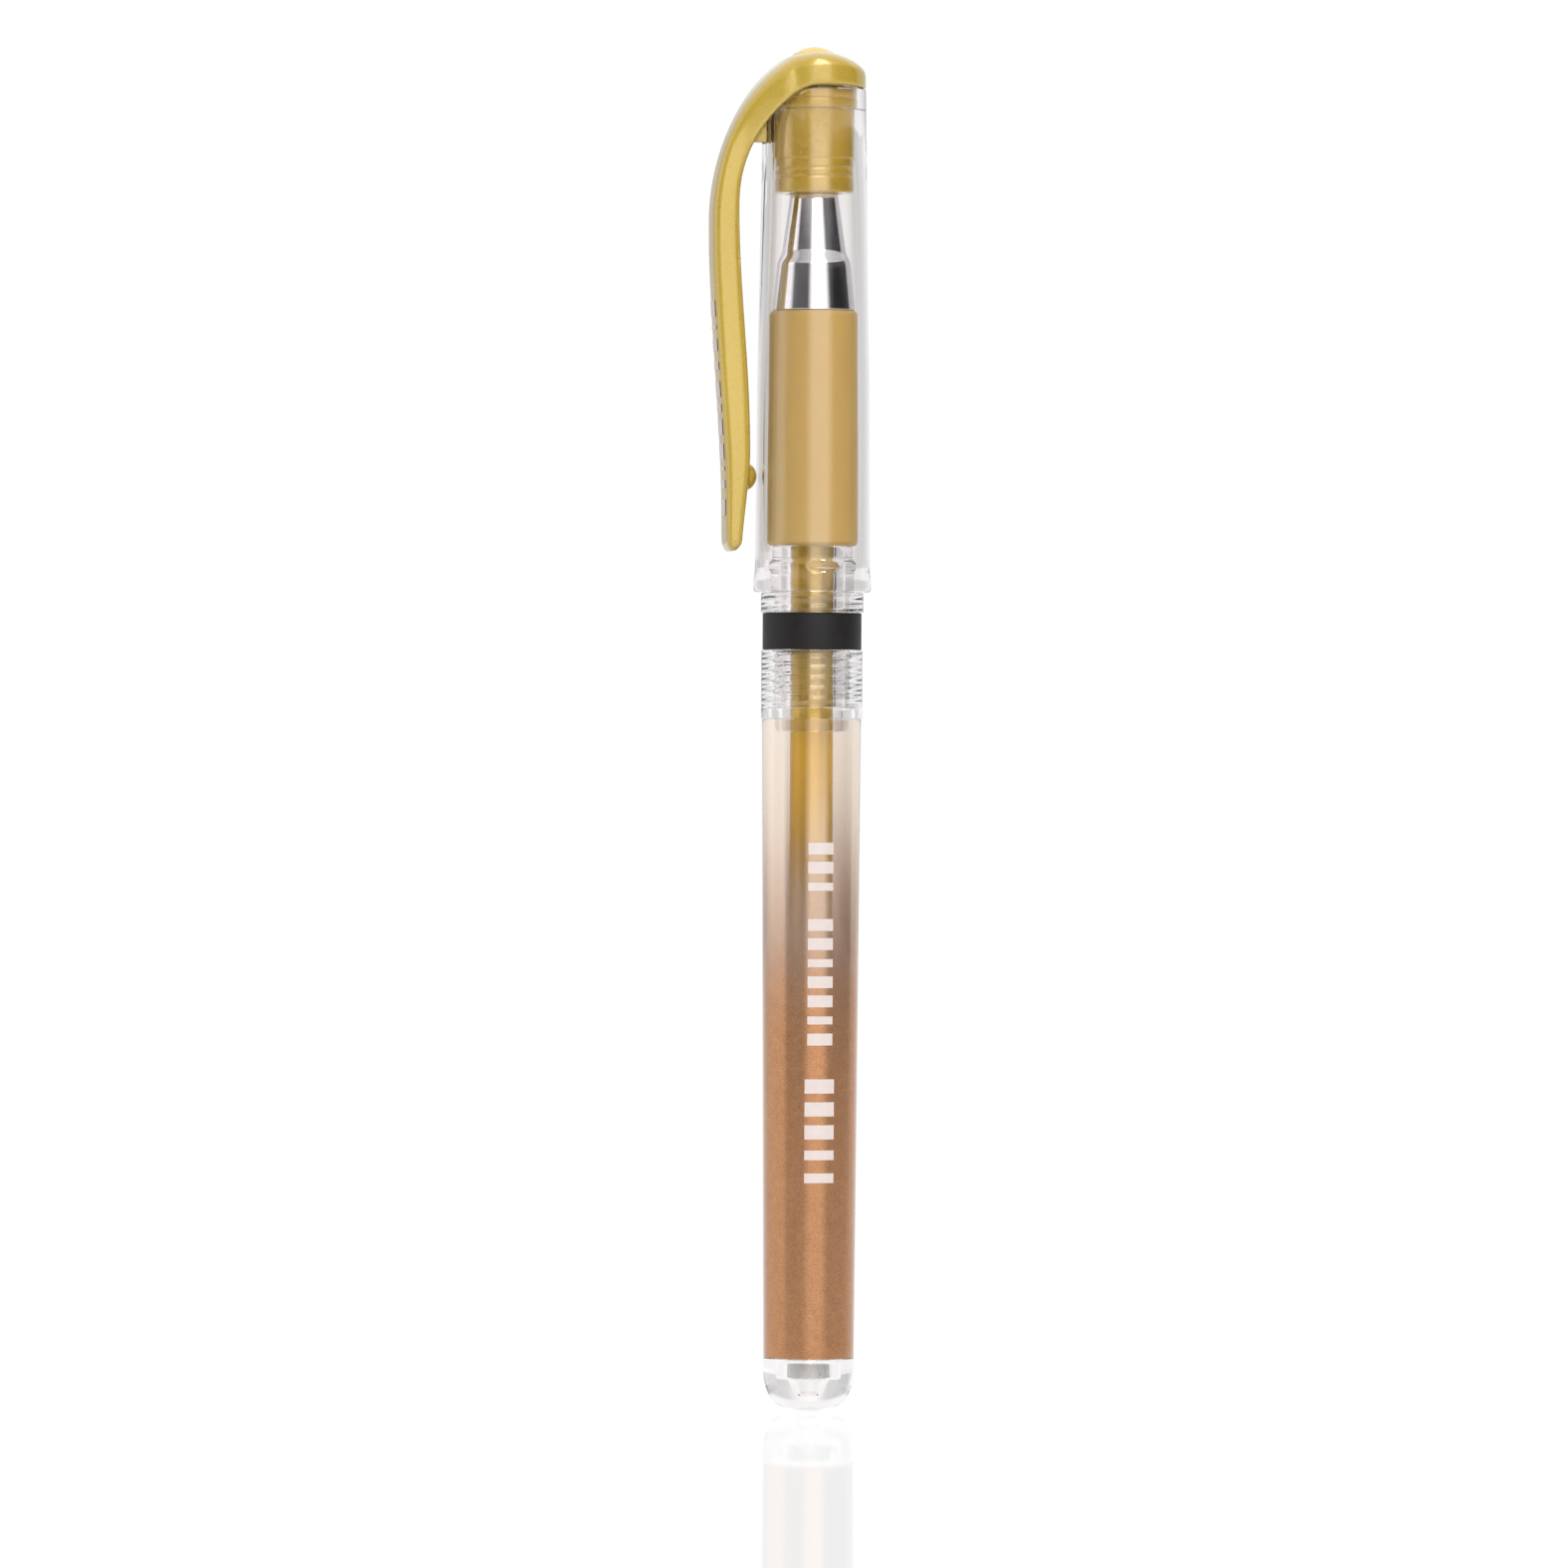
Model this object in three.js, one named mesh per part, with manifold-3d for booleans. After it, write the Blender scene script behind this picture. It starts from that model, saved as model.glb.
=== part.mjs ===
// A capped gel-ink calligraphy marker, as separate pieces, in millimetres.
// The pen's axis is +Z. z = 0 is the small flat on the rear end, and the clip is on the -X side.

import * as THREE from 'three';
import Module from 'manifold-3d';
import { mergeVertices } from 'three/addons/utils/BufferGeometryUtils.js';

// Clearances
const pressFit = 0.05; // between the radii of pieces that are pressed or welded together
const runningFit = 0.08; // between the radii of pieces that slide or turn
const faceGap = 0.06; // between faces that meet
const threadFit = 0.13; // around the thread ridge
const innerCapFit = 0.12; // between the inner cap and the nose cone

// Rear plug
const plugLength = 5.75;
const plugSpigotLength = 3.4;
const plugSpigotWall = 0.7;
const plugFloorDepth = 3.6;
const plugPipDepth = 1.5;
const plugPipRadius = 1.2;
const plugPipFloorRadius = 0.72;
const plugStepDepth = 0.5;
const rearBossRadius = 1.65;
const rearBossHeight = 0.4;
const rearBossDraft = 0.15;
const rearDomeFlatRadius = 2.5;
const rearDomeHeight = 4.3;

// Barrel
const barrelLength = 69.25;
const barrelRearRadius = 4.92;
const barrelFrontRadius = 5.4;
const barrelBoreRadius = 4.1;

// Threaded collar at the front of the barrel, with its band
const collarLength = 13.6;
const collarStep = 0.1;
const collarTaper = 0.07;
const collarSpigotLength = 1.4;
const collarSpigotWall = 0.8;
const collarFloorHeight = 1.2;
const bandOffset = 7.4;
const bandLength = 4.1;
const bandThickness = 0.3;
const bandRecess = 0.18;

// Thread between the collar and the front section, right-handed
const threadPitch = 1.1;
const threadTurns = 8.5;
const threadGrooveLead = 0.5;
const threadGrooveRunOut = 2;
const threadRoot = 0.12;
const threadCoreRadius = 4.1;
const threadHeight = 0.52;
const threadRootWidth = 0.7;
const threadCrestWidth = 0.32;
const threadLead = 1.0;

// Front section and grip
const flangeOverlap = 0.46;
const flangeLength = 2.04;
const beadHeight = 0.2;
const beadLength = 1.5;
const beadEdge = 0.3;
const neckDepth = 0.21;
const neckLength = 1.5;
const gripLength = 25.45;
const gripRearRadius = 4.92;
const gripFrontRadius = 4.79;
const gripWall = 0.87;
const gripEdge = 0.25;

// Nose cone
const coneBackStep = 0.29;
const coneShoulderRadius = 4.0;
const coneShoulderLength = 5.2;
const coneStepRadius = 3.5;
const coneStepLength = 1.1;
const coneTaperLength = 12.5;
const coneTipRadius = 1.7;
const coneSpigotWall = 0.85;
const coneSpigotLength = 5.2;
const coneBoreLength = 2.0;
const coneMouthLength = 6.0;
const coneMouthTaper = 0.6;

// Refill
const refillRadius = 2.33;
const refillWall = 0.38;
const refillRoom = 0.12;
const holderInset = 1.31;
const inkEmptyLength = 8.8;
const followerLength = 3.4;
const holderSpigotLength = 4.0;
const holderShoulderLength = 2.4;
const holderShoulderEdge = 0.5;
const holderNoseRadius = 1.62;
const holderNoseLength = 8.6;
const holderBoreRadius = 0.8;
const pointRadius = 1.15;
const pointTailLength = 4.0;
const pointShankLength = 8.4;
const pointConeLength = 2.85;
const pointLipRadius = 0.72;
const ballRadius = 0.5;
const ballFit = 0.04;
const ballInset = 0.15;
const inkChannelRadius = 0.36;
const springWireRadius = 0.07;
const springPitch = 0.42;
const springTurns = 6;

// Cap
const capGap = 0.1;
const capSkirtLength = 8.3;
const capStraightLength = 13.0;
const capHeadroom = 2.8;
const capRoom = 0.38;
const capMouthWall = 1.1;
const capSkirtWall = 0.87;
const capBodyWall = 0.8;
const capTopWall = 0.91;
const capBoreStep = 0.26;
const capBoreStepLength = 2.4;
const capMouthEdge = 0.25;
const capMouthTaper = 0.05;
const snapBumpWidth = 3.4;
const snapBumpHeight = 1.4;
const snapBumpCount = 3;

// Inner cap and its seal
const innerCapMouthRadius = 3.0;
const innerCapMouthDepth = 0.6;
const innerCapBodyRadius = 4.36;
const innerCapSkirtLength = 3.8;
const innerCapConeOverlap = 6.39;
const innerCapFlangeStep = 0.26;
const innerCapFlangeLength = 2.1;
const innerCapRibDepth = 0.1;
const innerCapRibEdge = 0.15;
const innerCapGrooveLength = 2.1;
const innerCapTipRoom = 1.9;
const innerCapTopGap = 0.2;
const sealThickness = 1.2;
const stemRadius = 2.4;
const buttonHeight = 0.58;
const buttonSink = 0.2;

// Crown and clip, seen from the side
const crownRimHeight = 1.9;
const crownTopHeight = 4.0;
const crownEdge = 0.2;
const clipWidth = 4.4;
const clipStart = 3.0;
const clipBowReach = 5.87;
const clipBowDrop = 14.9;
const clipBowThickness = 2.65;
const clipLean = 1.59;
const clipStartDrop = 0.7;
const clipHandles = { // how far the clip's curves lean on their neighbours
  shoulderOut: 4.3,
  shoulderUp: 0.85,
  bowOut: 0.15,
  bowUp: 8.5,
  bowDown: 9.5,
  bowInnerDown: 6.5,
  waistUp: 2.0,
  waistDown: 2.5,
  bladeEnd: 4.0,
  tipRound: 1.4,
  tipIn: 0.15,
  tipRise: 2.0,
  tipHollow: 0.4,
  tipHollowRise: 6.0,
  rootOut: 3.4,
  rootEnd: 0.8,
};
const clipFlareLength = 6.5;
const clipFlareReach = 3.0;
const clipWaistGap = 1.87;
const clipWaistLift = 11.0;
const clipTipThickness = 1.46;
const clipRootReach = 1.42;
const clipRootGap = 0.1;
const clipTipLift = 4.3;
const webWidth = 2.2;
const webDrop = 5.95;
const webInset = 0.63;
const bossRadius = 1.9;
const bossLift = 12.5;
const bossGap = 0.1;

// Fineness of the round faces
const roundSegments = 32;
const smallSegments = 20;
const domeSteps = 5;
const springSteps = 8;
const cutReach = 20; // how far a cutting solid runs past what it cuts
const threadStepsPerTurn = 16;

// Radii that follow from the sizes above
const collarRearRadius = barrelFrontRadius + collarStep;
const collarFrontRadius = collarRearRadius + collarTaper;
const flangeRadius = threadCoreRadius + flangeOverlap;
const beadRadius = flangeRadius + beadHeight;
const neckRadius = flangeRadius - neckDepth;
const sectionBoreRadius = refillRadius + refillRoom;
const gripBoreRadius = gripRearRadius - gripWall;
const coneBackRadius = gripFrontRadius - coneBackStep;
const coneSpigotRadius = sectionBoreRadius + coneSpigotWall;
const coneNarrowBoreRadius = holderNoseRadius + refillRoom;
const inkRadius = refillRadius - refillWall - pressFit;
const capBoreRadius = gripRearRadius + capRoom;
const capMouthRadius = capBoreRadius + capMouthWall;
const capSkirtRadius = capBoreRadius + capSkirtWall;
const capBodyRadius = capBoreRadius + capBodyWall;
const innerCapFlangeRadius = innerCapBodyRadius + innerCapFlangeStep;
const capTopRadius = innerCapFlangeRadius + pressFit + capTopWall;
const crownRadius = capTopRadius;

// Places along the axis that follow from the lengths above
const partingZ = plugLength + faceGap + barrelLength;
const collarRearZ = partingZ + faceGap;
const collarFrontZ = collarRearZ + collarLength;
const sectionFaceZ = collarFrontZ + faceGap;
const beadZ = sectionFaceZ + flangeLength;
const neckZ = beadZ + beadLength;
const gripRearZ = neckZ + neckLength;
const gripFrontZ = gripRearZ + gripLength;
const coneBackZ = gripFrontZ + faceGap;
const coneStepZ = coneBackZ + coneShoulderLength;
const coneTaperZ = coneStepZ + coneStepLength;
const coneTipZ = coneTaperZ + coneTaperLength;
const refillRearZ = plugFloorDepth + faceGap;
const refillFrontZ = coneBackZ - holderInset - faceGap;
const followerZ = refillRearZ + inkEmptyLength;
const inkRearZ = followerZ + followerLength + faceGap;
const holderRearZ = refillFrontZ - holderSpigotLength;
const holderShoulderZ = refillFrontZ + faceGap;
const holderNoseZ = holderShoulderZ + holderShoulderLength;
const holderTipZ = holderNoseZ + holderNoseLength;
const pointTailZ = holderTipZ - pointTailLength;
const pointConeZ = holderTipZ + pointShankLength;
const pointLipZ = pointConeZ + pointConeLength;
const ballZ = pointLipZ - ballInset;
const nibZ = ballZ + ballRadius;
const capMouthZ = collarFrontZ + capGap;
const capTopZ = nibZ + capHeadroom;
const sealTopZ = nibZ + capGap + sealThickness;
const flangeTopZ = capTopZ - innerCapTopGap;
const flangeZ = flangeTopZ - innerCapFlangeLength;
const innerCapMouthZ = coneTaperZ + innerCapConeOverlap;
const innerCapRibZ = innerCapMouthZ + innerCapSkirtLength;
const crownTopZ = capTopZ + crownTopHeight;
const clipTipZ = capMouthZ + clipTipLift;
const clipRootX = -(crownRadius + clipRootReach);
const webInnerX = -(capTopRadius - webInset);
const bossZ = capMouthZ + bossLift;

const wasm = await Module();
wasm.setup();

// A turned solid about +Z from a closed outline of [radius, z] corners, drawn anticlockwise.
function turned(outline, segments = roundSegments) {
  const points = outline.map(([radius, z]) => new THREE.Vector2(radius, z));
  return new THREE.LatheGeometry(points, segments).rotateX(Math.PI / 2);
}

// A turned ring: its outline closes on itself, clear of the axis.
function turnedRing(outline, segments = roundSegments) {
  return turned([...outline, outline[0]], segments);
}

// A solid cylinder between two heights.
function rod(radius, fromZ, toZ, segments = roundSegments) {
  return turned([[0, fromZ], [radius, fromZ], [radius, toZ], [0, toZ]], segments);
}

// A plate whose outline lies in the XZ plane, centred on y = 0.
function sidePlate(shape, width, curveSegments = 10) {
  const plate = new THREE.ExtrudeGeometry(shape, { depth: width, bevelEnabled: false, curveSegments });
  return plate.translate(0, 0, -width / 2).rotateX(Math.PI / 2);
}

// A plate whose outline lies in the XY plane, from one height to another.
function levelPlate(shape, low, high, curveSegments = 10) {
  const plate = new THREE.ExtrudeGeometry(shape, { depth: high - low, bevelEnabled: false, curveSegments });
  return plate.translate(0, 0, low);
}

// A right-handed helical bar. Its section is a Shape with x as the radius and y as the height.
function helicalBar(section, pitch, turns, startZ, startTurn, stepsPerTurn) {
  const steps = Math.round(turns * stepsPerTurn);
  const bar = new THREE.ExtrudeGeometry(section, { depth: 1, steps, bevelEnabled: false, curveSegments: 2 });
  const place = bar.attributes.position;
  for (let i = 0; i < place.count; i += 1) {
    const turn = (1 - place.getZ(i)) * turns;
    const angle = (startTurn + turn) * 2 * Math.PI;
    const radius = place.getX(i);
    const z = startZ + place.getY(i) + turn * pitch;
    place.setXYZ(i, radius * Math.cos(angle), radius * Math.sin(angle), z);
  }
  return bar;
}

// Points on a quarter of an ellipse, from its widest radius towards the axis.
function domeOutline(centreRadius, centreZ, radius, height, steps) {
  const points = [];
  for (let i = 0; i <= steps; i += 1) {
    const angle = (i / steps) * (Math.PI / 2);
    points.push([centreRadius + radius * Math.cos(angle), centreZ + height * Math.sin(angle)]);
  }
  return points;
}

function toManifold(geometry) {
  const bare = geometry.clone();
  bare.deleteAttribute('normal');
  bare.deleteAttribute('uv');
  const merged = mergeVertices(bare, 1e-5);
  return new wasm.Manifold(new wasm.Mesh({
    numProp: 3,
    vertProperties: new Float32Array(merged.attributes.position.array),
    triVerts: new Uint32Array(merged.index.array),
  }));
}

function toGeometry(solid) {
  const mesh = solid.getMesh();
  const geometry = new THREE.BufferGeometry();
  geometry.setAttribute('position', new THREE.BufferAttribute(mesh.vertProperties, 3));
  geometry.setIndex(new THREE.BufferAttribute(mesh.triVerts, 1));
  geometry.computeVertexNormals();
  return geometry;
}

function mix(from, to, share) {
  return from + (to - from) * share;
}

function barrelRadiusAt(z) {
  return mix(barrelRearRadius, barrelFrontRadius, (z - plugLength) / (partingZ - plugLength));
}

function coneRadiusAt(z) {
  return mix(coneStepRadius, coneTipRadius, (z - coneTaperZ) / coneTaperLength);
}

// Rear plug: a clear domed end with a spigot in the barrel and a socket for the refill.
function endPlug() {
  const spigotRadius = barrelBoreRadius - pressFit;
  const spigotTopZ = plugLength + plugSpigotLength;
  const domeReach = barrelRearRadius - rearDomeFlatRadius;
  const domeDrop = rearBossHeight - rearDomeHeight;
  const dome = domeOutline(rearDomeFlatRadius, rearDomeHeight, domeReach, domeDrop, domeSteps);
  return turned([
    [0, 0],
    [rearBossRadius, 0],
    [rearBossRadius + rearBossDraft, rearBossHeight],
    ...dome.reverse(),
    [barrelRearRadius, plugLength],
    [spigotRadius, plugLength],
    [spigotRadius, spigotTopZ],
    [spigotRadius - plugSpigotWall, spigotTopZ],
    [spigotRadius - plugSpigotWall, plugLength],
    [refillRadius + runningFit, plugLength - plugStepDepth],
    [refillRadius + runningFit, plugFloorDepth],
    [plugPipRadius, plugFloorDepth],
    [plugPipFloorRadius, plugPipDepth],
    [0, plugPipDepth],
  ]);
}

// Barrel: a clear tube that widens a little towards the front.
function barrelTube() {
  const rearZ = plugLength + faceGap;
  return turnedRing([
    [barrelBoreRadius, rearZ],
    [barrelRadiusAt(rearZ), rearZ],
    [barrelRadiusAt(partingZ), partingZ],
    [barrelBoreRadius, partingZ],
  ]);
}

// Section of the thread ridge, grown on every side by a clearance.
function threadSection(clearance) {
  const rootRadius = threadCoreRadius - threadRoot;
  const crestRadius = threadCoreRadius + threadHeight;
  const halfRoot = threadRootWidth / 2 + clearance;
  const halfCrest = threadCrestWidth / 2 + clearance;
  const section = new THREE.Shape();
  section.moveTo(rootRadius, -halfRoot);
  section.lineTo(crestRadius + clearance, -halfCrest);
  section.lineTo(crestRadius + clearance, halfCrest);
  section.lineTo(rootRadius, halfRoot);
  return section;
}

const threadStartZ = collarRearZ + collarFloorHeight + faceGap + threadLead;

// Collar: clear, with the female thread, a groove for the band and a spigot in the barrel.
function threadCollar() {
  const spigotRadius = barrelBoreRadius - pressFit;
  const spigotRearZ = collarRearZ - faceGap - collarSpigotLength;
  const boreRadius = threadCoreRadius + runningFit;
  const grooveRadius = collarRearRadius - bandRecess - bandThickness;
  const grooveRearZ = collarRearZ + bandOffset;
  const grooveFrontZ = grooveRearZ + bandLength;
  const floorZ = collarRearZ + collarFloorHeight;
  const body = toManifold(turnedRing([
    [spigotRadius - collarSpigotWall, spigotRearZ],
    [spigotRadius, spigotRearZ],
    [spigotRadius, collarRearZ],
    [collarRearRadius, collarRearZ],
    [collarRearRadius, grooveRearZ],
    [grooveRadius, grooveRearZ],
    [grooveRadius, grooveFrontZ],
    [collarFrontRadius, grooveFrontZ],
    [collarFrontRadius, collarFrontZ],
    [boreRadius, collarFrontZ],
    [boreRadius, floorZ],
    [spigotRadius - collarSpigotWall, floorZ],
  ]));
  const groove = helicalBar(
    threadSection(threadFit),
    threadPitch,
    threadTurns + threadGrooveLead + threadGrooveRunOut,
    threadStartZ - threadGrooveLead * threadPitch,
    -threadGrooveLead,
    threadStepsPerTurn,
  );
  return toGeometry(body.subtract(toManifold(groove)));
}

// Band: a black ring in the collar's groove.
function bandRing() {
  const innerRadius = collarRearRadius - bandRecess - bandThickness + pressFit;
  const outerRadius = innerRadius + bandThickness;
  const rearZ = collarRearZ + bandOffset + faceGap;
  const frontZ = rearZ + bandLength - 2 * faceGap;
  return turnedRing([
    [innerRadius, rearZ],
    [outerRadius, rearZ],
    [outerRadius, frontZ],
    [innerRadius, frontZ],
  ]);
}

// Front section: clear, with the male thread, a flange, the snap bead and the core of the grip.
function frontSection() {
  const coreRadius = gripBoreRadius - pressFit;
  const rearZ = collarRearZ + collarFloorHeight + faceGap;
  const counterboreRadius = coneSpigotRadius + pressFit;
  const counterboreZ = gripFrontZ - coneSpigotLength - faceGap;
  const body = toManifold(turnedRing([
    [sectionBoreRadius, rearZ],
    [threadCoreRadius, rearZ],
    [threadCoreRadius, sectionFaceZ],
    [flangeRadius, sectionFaceZ],
    [flangeRadius, beadZ],
    [beadRadius, beadZ + beadEdge],
    [beadRadius, neckZ - beadEdge],
    [neckRadius, neckZ],
    [neckRadius, gripRearZ - faceGap],
    [coreRadius, gripRearZ - faceGap],
    [coreRadius, gripFrontZ],
    [counterboreRadius, gripFrontZ],
    [counterboreRadius, counterboreZ],
    [sectionBoreRadius, counterboreZ],
  ]));
  const ridge = helicalBar(
    threadSection(0),
    threadPitch,
    threadTurns,
    threadStartZ,
    0,
    threadStepsPerTurn,
  );
  return toGeometry(body.add(toManifold(ridge)));
}

// Grip: a soft sleeve that narrows a little towards the front.
function gripSleeve() {
  return turnedRing([
    [gripBoreRadius, gripRearZ],
    [gripRearRadius - gripEdge, gripRearZ],
    [gripRearRadius, gripRearZ + gripEdge],
    [gripFrontRadius, gripFrontZ - 2 * gripEdge],
    [gripFrontRadius - gripEdge, gripFrontZ],
    [gripBoreRadius, gripFrontZ],
  ]);
}

// Nose cone: bright metal, pressed into the front section, with a stepped bore round the refill.
function noseCone() {
  const boreTopZ = holderShoulderZ + holderShoulderLength;
  return turnedRing([
    [sectionBoreRadius, coneBackZ - coneSpigotLength],
    [coneSpigotRadius, coneBackZ - coneSpigotLength],
    [coneSpigotRadius, coneBackZ],
    [coneBackRadius, coneBackZ],
    [coneShoulderRadius, coneStepZ],
    [coneStepRadius, coneTaperZ],
    [coneTipRadius, coneTipZ],
    [pointRadius + runningFit, coneTipZ],
    [pointRadius + runningFit, coneTipZ - coneMouthLength],
    [coneNarrowBoreRadius, coneTipZ - coneMouthLength - coneMouthTaper],
    [coneNarrowBoreRadius, boreTopZ + coneBoreLength],
    [sectionBoreRadius, boreTopZ + coneBoreLength / 2],
  ]);
}

// Refill tube, open at both ends.
function refillTube() {
  const boreRadius = refillRadius - refillWall;
  return turnedRing([
    [boreRadius, refillRearZ],
    [refillRadius, refillRearZ],
    [refillRadius, refillFrontZ],
    [boreRadius, refillFrontZ],
  ], smallSegments);
}

// Ink in the refill, up to the point holder's spigot.
function inkColumn() {
  return rod(inkRadius, inkRearZ, holderRearZ - faceGap, smallSegments);
}

// Follower: the clear grease plug behind the ink.
function inkFollower() {
  return rod(inkRadius, followerZ, followerZ + followerLength, smallSegments);
}

// Point holder: a moulded plug between the refill tube and the writing point.
function pointHolder() {
  return turnedRing([
    [holderBoreRadius, holderRearZ],
    [inkRadius, holderRearZ],
    [inkRadius, holderShoulderZ],
    [refillRadius, holderShoulderZ],
    [refillRadius, holderNoseZ - holderShoulderEdge],
    [holderNoseRadius, holderNoseZ],
    [holderNoseRadius, holderTipZ],
    [pointRadius + pressFit, holderTipZ],
    [pointRadius + pressFit, pointTailZ - faceGap],
    [holderBoreRadius, pointTailZ - faceGap],
  ], smallSegments);
}

// Writing point: a metal shank with an ink channel, and the socket of the ball.
function writingPoint() {
  const socketRadius = ballRadius + ballFit;
  const socketFloorZ = ballZ - ballRadius - ballFit;
  return turnedRing([
    [inkChannelRadius, pointTailZ],
    [pointRadius, pointTailZ],
    [pointRadius, pointConeZ],
    [pointLipRadius, pointLipZ],
    [socketRadius, pointLipZ],
    [socketRadius, socketFloorZ],
    [inkChannelRadius, socketFloorZ],
  ], smallSegments);
}

function pointBall() {
  return new THREE.SphereGeometry(ballRadius, 12, 8).translate(0, 0, ballZ);
}

// Spring in the ink channel that keeps the ball against its lip.
function pointSpring() {
  const coilRadius = inkChannelRadius - pressFit - springWireRadius;
  const length = springPitch * springTurns;
  const wire = new THREE.Shape();
  wire.absarc(coilRadius, 0, springWireRadius, 0, 2 * Math.PI);
  const startZ = ballZ - ballRadius - 2 * springWireRadius - length;
  return helicalBar(wire, springPitch, springTurns, startZ, 0, springSteps);
}

// Side outline of the crown and the clip together. The underside runs from the crown's rim to the
// clip's inner face, and the top side from the crown's dome to the clip's outer face.
function clipOutline() {
  const bowOuterX = -(crownRadius + clipBowReach);
  const bowInnerX = bowOuterX + clipBowThickness;
  const waistOuterX = bowOuterX + clipLean;
  const waistInnerX = -(crownRadius + clipWaistGap);
  const tipInnerX = waistOuterX + clipTipThickness;
  const tipMidX = (waistOuterX + tipInnerX) / 2;
  const waistZ = clipTipZ + clipWaistLift;
  const bowZ = capTopZ - clipBowDrop;
  const handle = clipHandles;
  const outline = new THREE.Shape();
  outline.moveTo(crownRadius + 1, capTopZ);
  outline.lineTo(crownRadius + 1, crownTopZ + 1);
  outline.lineTo(-clipStart, crownTopZ - clipStartDrop);
  outline.bezierCurveTo(
    -clipStart - handle.shoulderOut, capTopZ + handle.shoulderUp,
    bowOuterX - handle.bowOut, bowZ + handle.bowUp,
    bowOuterX, bowZ,
  );
  outline.bezierCurveTo(
    bowOuterX, bowZ - handle.bowDown,
    waistOuterX, waistZ + handle.waistUp,
    waistOuterX, clipTipZ + handle.bladeEnd,
  );
  outline.bezierCurveTo(
    waistOuterX, clipTipZ + handle.tipRound,
    waistOuterX, clipTipZ,
    tipMidX, clipTipZ,
  );
  outline.bezierCurveTo(
    tipInnerX - handle.tipIn, clipTipZ,
    tipInnerX - handle.tipIn, clipTipZ + handle.tipRound,
    tipInnerX, clipTipZ + handle.tipRise,
  );
  outline.bezierCurveTo(
    tipInnerX + handle.tipHollow, clipTipZ + handle.tipHollowRise,
    waistInnerX, waistZ - handle.waistDown,
    waistInnerX, waistZ,
  );
  outline.bezierCurveTo(
    waistInnerX, waistZ + handle.bowDown,
    bowInnerX, bowZ - handle.bowInnerDown,
    bowInnerX, bowZ + handle.waistDown,
  );
  outline.bezierCurveTo(
    bowInnerX, bowZ + handle.bowDown,
    -handle.rootOut, capTopZ,
    -handle.rootEnd, capTopZ,
  );
  return outline;
}

// Seen from above: the clip widens smoothly until it meets the round crown.
function flareOutline() {
  const crownX = -clipStart;
  const crownY = Math.sqrt(crownRadius ** 2 - clipStart ** 2) - crownEdge;
  const clipX = crownX - clipFlareLength;
  const clipY = clipWidth / 2;
  const outline = new THREE.Shape();
  outline.moveTo(clipX, -clipY);
  outline.bezierCurveTo(clipX + clipFlareReach, -clipY, crownX - clipFlareReach, -crownY, crownX, -crownY);
  outline.lineTo(crownX, crownY);
  outline.bezierCurveTo(crownX - clipFlareReach, crownY, clipX + clipFlareReach, clipY, clipX, clipY);
  return outline;
}

// Box of the space on one side of the clip's root, to part the clip from the crown.
function rootHalf(sign) {
  const size = 2 * (capTopZ - clipTipZ + cutReach);
  const faceX = clipRootX + (sign * clipRootGap) / 2;
  return toManifold(new THREE.BoxGeometry(size, size, size).translate(faceX + (sign * size) / 2, 0, capTopZ));
}

// The crown's round body, before its underside is cut.
function crownDome() {
  const sag = crownTopHeight - crownRimHeight;
  const sphereRadius = (crownRadius ** 2 + sag ** 2) / (2 * sag);
  const outline = [
    [0, capTopZ - cutReach],
    [crownRadius, capTopZ - cutReach],
    [crownRadius, capTopZ + crownRimHeight - crownEdge],
  ];
  for (let i = 0; i <= domeSteps; i += 1) {
    const radius = (crownRadius - crownEdge) * (1 - i / domeSteps);
    const drop = sphereRadius - Math.sqrt(sphereRadius ** 2 - radius ** 2);
    outline.push([radius, crownTopZ - drop]);
  }
  return turned(outline);
}

// Crown: the round top of the cap, with the clip's root and the web that keys it to the tube.
function clipCrown() {
  const side = toManifold(sidePlate(clipOutline(), 2 * crownRadius + 2));
  const flare = toManifold(levelPlate(flareOutline(), clipTipZ, crownTopZ)).intersect(side);
  const bar = toManifold(sidePlate(clipOutline(), clipWidth));
  const behindDome = toManifold(new THREE.BoxGeometry(cutReach, cutReach, 2 * cutReach)
    .translate(-clipStart - cutReach / 2, 0, capTopZ));
  const web = toManifold(new THREE.BoxGeometry(webInnerX - clipRootX, webWidth, webDrop)
    .translate((webInnerX + clipRootX) / 2, 0, capTopZ - webDrop / 2));
  const pocket = toManifold(rod(innerCapFlangeRadius + pressFit, capTopZ - cutReach, flangeTopZ + faceGap));
  const stemHole = toManifold(rod(stemRadius + pressFit, capTopZ - cutReach, capTopZ + cutReach));
  return toGeometry(toManifold(crownDome())
    .intersect(side)
    .add(bar.intersect(behindDome))
    .add(flare)
    .add(web.subtract(toManifold(rod(-webInnerX, capTopZ - cutReach, capTopZ))))
    .intersect(rootHalf(1))
    .subtract(pocket)
    .subtract(stemHole));
}

// Clip: the arm beyond the root, with the round boss that presses on the cap.
function clipArm() {
  const side = toManifold(sidePlate(clipOutline(), 2 * crownRadius + 2));
  const flare = toManifold(levelPlate(flareOutline(), clipTipZ, crownTopZ)).intersect(side);
  const arm = toManifold(sidePlate(clipOutline(), clipWidth)).add(flare).intersect(rootHalf(-1));
  const bossX = -(capRadiusAt(bossZ) + bossGap + bossRadius);
  const boss = toManifold(new THREE.SphereGeometry(bossRadius, 14, 10).translate(bossX, 0, bossZ));
  return toGeometry(arm.add(boss));
}

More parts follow.
